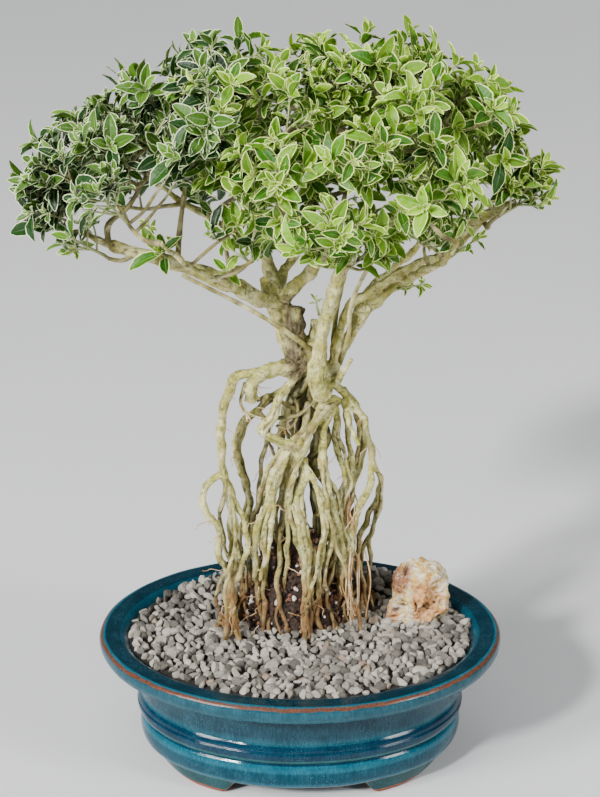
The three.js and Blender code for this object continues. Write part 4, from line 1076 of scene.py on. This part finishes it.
def leaf_rows(base, axis, turns, tilts, lengths, age):
    """Rows of base, heading, upward, length and age for leaves that start at one point of a stem."""
    turns, tilts, lengths = (np.atleast_1d(np.array(v, float)) for v in (turns, tilts, lengths))
    outward = spokes(axis, turns)
    cos, sin = np.cos(tilts)[:, None], np.sin(tilts)[:, None]
    heading, upward = axis * cos + outward * sin, axis * sin - outward * cos
    count = len(turns)
    return np.hstack([np.tile(base, (count, 1)) + 0.7 * outward, heading, upward, lengths[:, None],
                      np.full((count, 1), age)])


def shoot_leaves(foot, tip, axis, roll, size, packed, draw, is_main):
    """The four packed leaves at the tip, a young pair and a bud above them, and pairs down the stem."""
    rows = []
    for k in range(4):
        turn = roll + k * np.pi / 2 + 0.4 * (packed() - 0.5)
        tilt = (0.85 if k % 2 else 1.3) + 0.35 * (packed() - 0.5)
        length = size * (0.86 if k % 2 else 1) * (0.88 + 0.24 * packed())
        rows.append(leaf_rows(tip - 1.6 * (1 - k % 2) * axis, axis, turn, tilt, length, 1 - 0.25 * (k % 2)))
    young = roll + draw.uniform(0.5, 1.1)
    rows.append(leaf_rows(tip + 0.8 * axis, axis, [young, young + np.pi], draw.uniform(0.4, 0.75, 2),
                          size * draw.uniform(0.45, 0.7, 2), 0.35))
    rows.append(leaf_rows(tip + 1.2 * axis, axis, [young + 1.6, young + 4.7], draw.uniform(0.15, 0.35, 2),
                          size * draw.uniform(0.22, 0.36, 2), 0.1))
    length = np.linalg.norm(tip - foot)
    for k, back in enumerate(np.arange(6.5, length - (2 if is_main else 5), draw.uniform(6, 7.5))):
        turn = roll + (k + 1) * np.pi / 2 + draw.uniform(-0.3, 0.3)
        rows.append(leaf_rows(tip - back * axis, axis, [turn, turn + np.pi], draw.uniform(0.75, 1.4, 2),
                              size * draw.uniform(0.7, 0.98, 2), 1.0))
    return rows


def spray(index, tip, lean, roll):
    """Rows of leaves and rings of stems for one packed shoot: its main stem and two side stems stand where
    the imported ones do, and a few shorter ones stand between them and point up."""
    packed, draw = seeded_random(100 + index), np.random.default_rng(500 + index)
    foot = tip - 29.65 * lean
    shoots = [(foot, tip, lean, roll, 23.0, True)]
    outward = unit(np.array([-lean[1], lean[0], 0.2]))
    for k, (side, share) in enumerate(((-1, 0.3), (1, 0.45))):
        start = foot + share * (tip - foot)
        axis = unit(0.55 * lean + side * outward)
        shoots.append((start, start + (17 + 5 * packed()) * axis, axis, roll + k + 1, 20.24, False))
    rows = []
    for start, end, axis, turn, size, is_main in shoots:
        rows += shoot_leaves(start, end, axis, turn, size, packed, draw, is_main)
    across = unit(np.cross(lean, outward))
    for k in range(5):
        share, way = draw.uniform(0.05, 0.75), across * (1 if k % 2 else -1) + outward * draw.uniform(-0.7, 0.7)
        start, axis = foot + share * (tip - foot), unit(0.6 * lean + unit(way) + [0, 0, 0.55])
        end = start + draw.uniform(10, 19) * axis
        shoots.append((start, end, axis, 0, 0, False))
        roll, size = draw.uniform(0, 3), draw.uniform(13, 17)
        rows += shoot_leaves(start, end, axis, roll, size, draw.random, draw, False)
    stems = [sleeve(limb([start, start + 0.5 * (end - start) + draw.normal(size=3) * 0.5, end + 0.8 * axis],
                         1.05 if is_main else 0.75, 0.7 if is_main else 0.5, index, 5, 5, 0.05))
             for start, end, axis, _, _, is_main in shoots]
    return np.vstack(rows), stems


def sprig(start, axis, length, size, draw):
    """Rows of leaves and a stem for one small side shoot."""
    end = start + length * axis
    rows = shoot_leaves(start, end, axis, draw.uniform(0, 3), size, draw.random, draw, True)
    bow = start + 0.5 * length * axis + draw.normal(size=3) * 0.6
    return np.vstack(rows), sleeve(limb([start, bow, end + 0.8 * axis], 0.8, 0.5, 9, 5, 5, 0.05))


# %% Leaf finishes
def leaf_finish(name, dark, mid, bright, margin, young, rim):
    """Green centre with paler cloudy patches, a cream margin rim mm wide with a ragged inner edge, and a
    pale midrib. Young leaves are paler. Side veins are a low bump."""
    finish = new_finish(name, Roughness=0.42, Specular_IOR_Level=0.21, Subsurface_Weight=0.08,
                        Subsurface_Scale=0.0015, Subsurface_Radius=(0.6, 1.0, 0.25))
    place, from_rim, from_rib = (add("SeparateXYZ", {0: pattern_of("leaf", "Vector")}, i) for i in range(3))
    centre = ramp(pattern_of("tone"), (0.0, *dark), (0.5, *mid), (1.0, *bright))
    centre = blend(step_up(mottle(3.2, 3), 0.45, 0.62) * 0.35, centre,
                   add("HueSaturation", {"Color": centre, "Value": 1.5, "Saturation": 0.75}))
    centre = blend(1.0 - pattern_of("age"), centre, young)
    edge = 1.0 - step_up(from_rim + (mottle(1.6, 3) - 0.5) * 0.8, rim - 0.15, rim + 0.25)
    rib = (1.0 - step_up(from_rib, 0.1, 0.4)) * (1.0 - place)
    veins = add("Math", {0: place * 42.0 - from_rib * 1.5}, operation="SINE")
    wire(blend(edge, blend(rib * 0.25, centre, margin), margin), veins * 0.25 + mottle(0.8, 3), 0.12)
    return finish


LEAVES = {
    "dark": leaf_finish("leaf_dark", (0.003, 0.018, 0.003), (0.009, 0.046, 0.005), (0.050, 0.130, 0.005),
                        (0.74, 0.82, 0.48), (0.15, 0.33, 0.02), 0.34),
    "lime": leaf_finish("leaf_lime", (0.007, 0.056, 0.001), (0.037, 0.142, 0.001), (0.165, 0.35, 0.002),
                        (0.78, 0.87, 0.30), (0.33, 0.56, 0.025), 0.42),
}
stem_finish = new_finish("stem_green", Roughness=0.5)
wire(blend(mottle(6, 4), (0.20, 0.26, 0.07), (0.42, 0.42, 0.20)), mottle(0.8, 3), 0.1)

# %% All the shoots
def aloft(rows):
    """The rows of leaves whose base and tip stay above the crown's lower edge."""
    return rows[above(rows[:, :3]) & above(rows[:, :3] + 0.8 * rows[:, 3:6] * rows[:, 9:10])]


def is_aloft(tube):
    """Whether a stem's highest point lies above the crown's lower edge."""
    return above(tube[0][tube[0][:, 2].argmax()])


def leaf_piece(name, kind, rows, body=None, along=ALONG):
    """The leaves of a shoot as one piece. Lengths are drawn round the planned ones, none over 22 mm."""
    length = rows[:, 9] * np.clip(draw.lognormal(-0.18, 0.22, len(rows)), 0.45, 1.2)
    length = np.minimum(length, draw.uniform(16, 22, len(rows)))
    width = length * draw.uniform(0.38, 0.50, len(rows))
    tone = np.clip(draw.normal(0.5, 0.24, len(rows)) + 0.25 * ripple(rows[:, :3], 60, 51), 0, 1)
    points, faces, leaf, tone, age = blades(rows[:, :3], rows[:, 3:6], rows[:, 6:9], length, width, tone,
                                            rows[:, 10], draw, along)
    new_piece(name, points, faces, LEAVES[kind], "leaf_" + kind, body, sharp=60, leaf=leaf, tone=tone, age=age)


draw, stems = np.random.default_rng(77), []
for index, (name, (tip, lean, roll, _)) in enumerate(zip(names, plan)):
    rows, tubes = spray(index, tip, lean, roll)
    stems += [tube for tube in tubes if is_aloft(tube)]
    leaf_piece(name.replace("spray", "leaves"), name.split("_")[1], aloft(rows), name)

# %% Sprigs inside the crown and in front
SPROUTS = [  # start, tip and leaf length in mm of the young shoots that break straight from old wood
    ((-80, -3, 346), (-84, -9, 353), 22), ((12, 30, 296), (10, 30, 306), 6), ((58, 20, 318), (74, 4, 327), 11),
    ((92, 18, 340), (107, 4, 357), 12), ((-43, 8, 332), (-44, -2, 338), 11),
    ((-88, -2, 362), (-91, -6, 369), 9), ((-72, -1, 352), (-75, -4, 357), 7),
    ((-128, -2, 362), (-134, -14, 358), 15)]
inside = {"dark": [], "lime": []}
for number, stalk in enumerate(stalks + sprig_stalks):
    spine = curve_through(stalk, 20)
    at_tip = (spine[-1], unit(spine[-1] - spine[-3] + [0, 0, 0.6]), draw.uniform(14, 22))
    ends = [at_tip] if number >= len(stalks) else []
    for spot in spine[[11, 15, 18]]:
        if not above(spot - [0, 0, 4]):
            continue
        outward = unit(spot * [1, 1, 0] + draw.normal(size=3) * [70, 70, 0] + [0, 0, 1])
        ends.append((spot, unit(outward + [0, 0, draw.uniform(0.3, 1.1)]), draw.uniform(11, 22)))
    for spot, axis, length in ends:
        rows, tube = sprig(spot, axis, length, draw.uniform(14, 20), draw)
        rows = aloft(rows)
        if len(rows) > 2:
            stems.append(tube)
        inside["dark" if spot[0] < DARK_BOUNDARY + draw.normal() * 10 else "lime"].append(rows)
for start, tip, size in SPROUTS:
    start, tip = np.array(start, float), np.array(tip, float)
    rows, tube = sprig(start, unit(tip - start), np.linalg.norm(tip - start), size, draw)
    stems.append(tube)
    inside["lime"].append(rows)
for kind, rows in inside.items():
    leaf_piece("leaves_inside_" + kind, kind, np.vstack(rows), along=ALONG_INSIDE)
points, faces = gathered(stems)
new_piece("green_stems", points, faces, stem_finish, "leaf_lime")
print(len(stems), "stems")
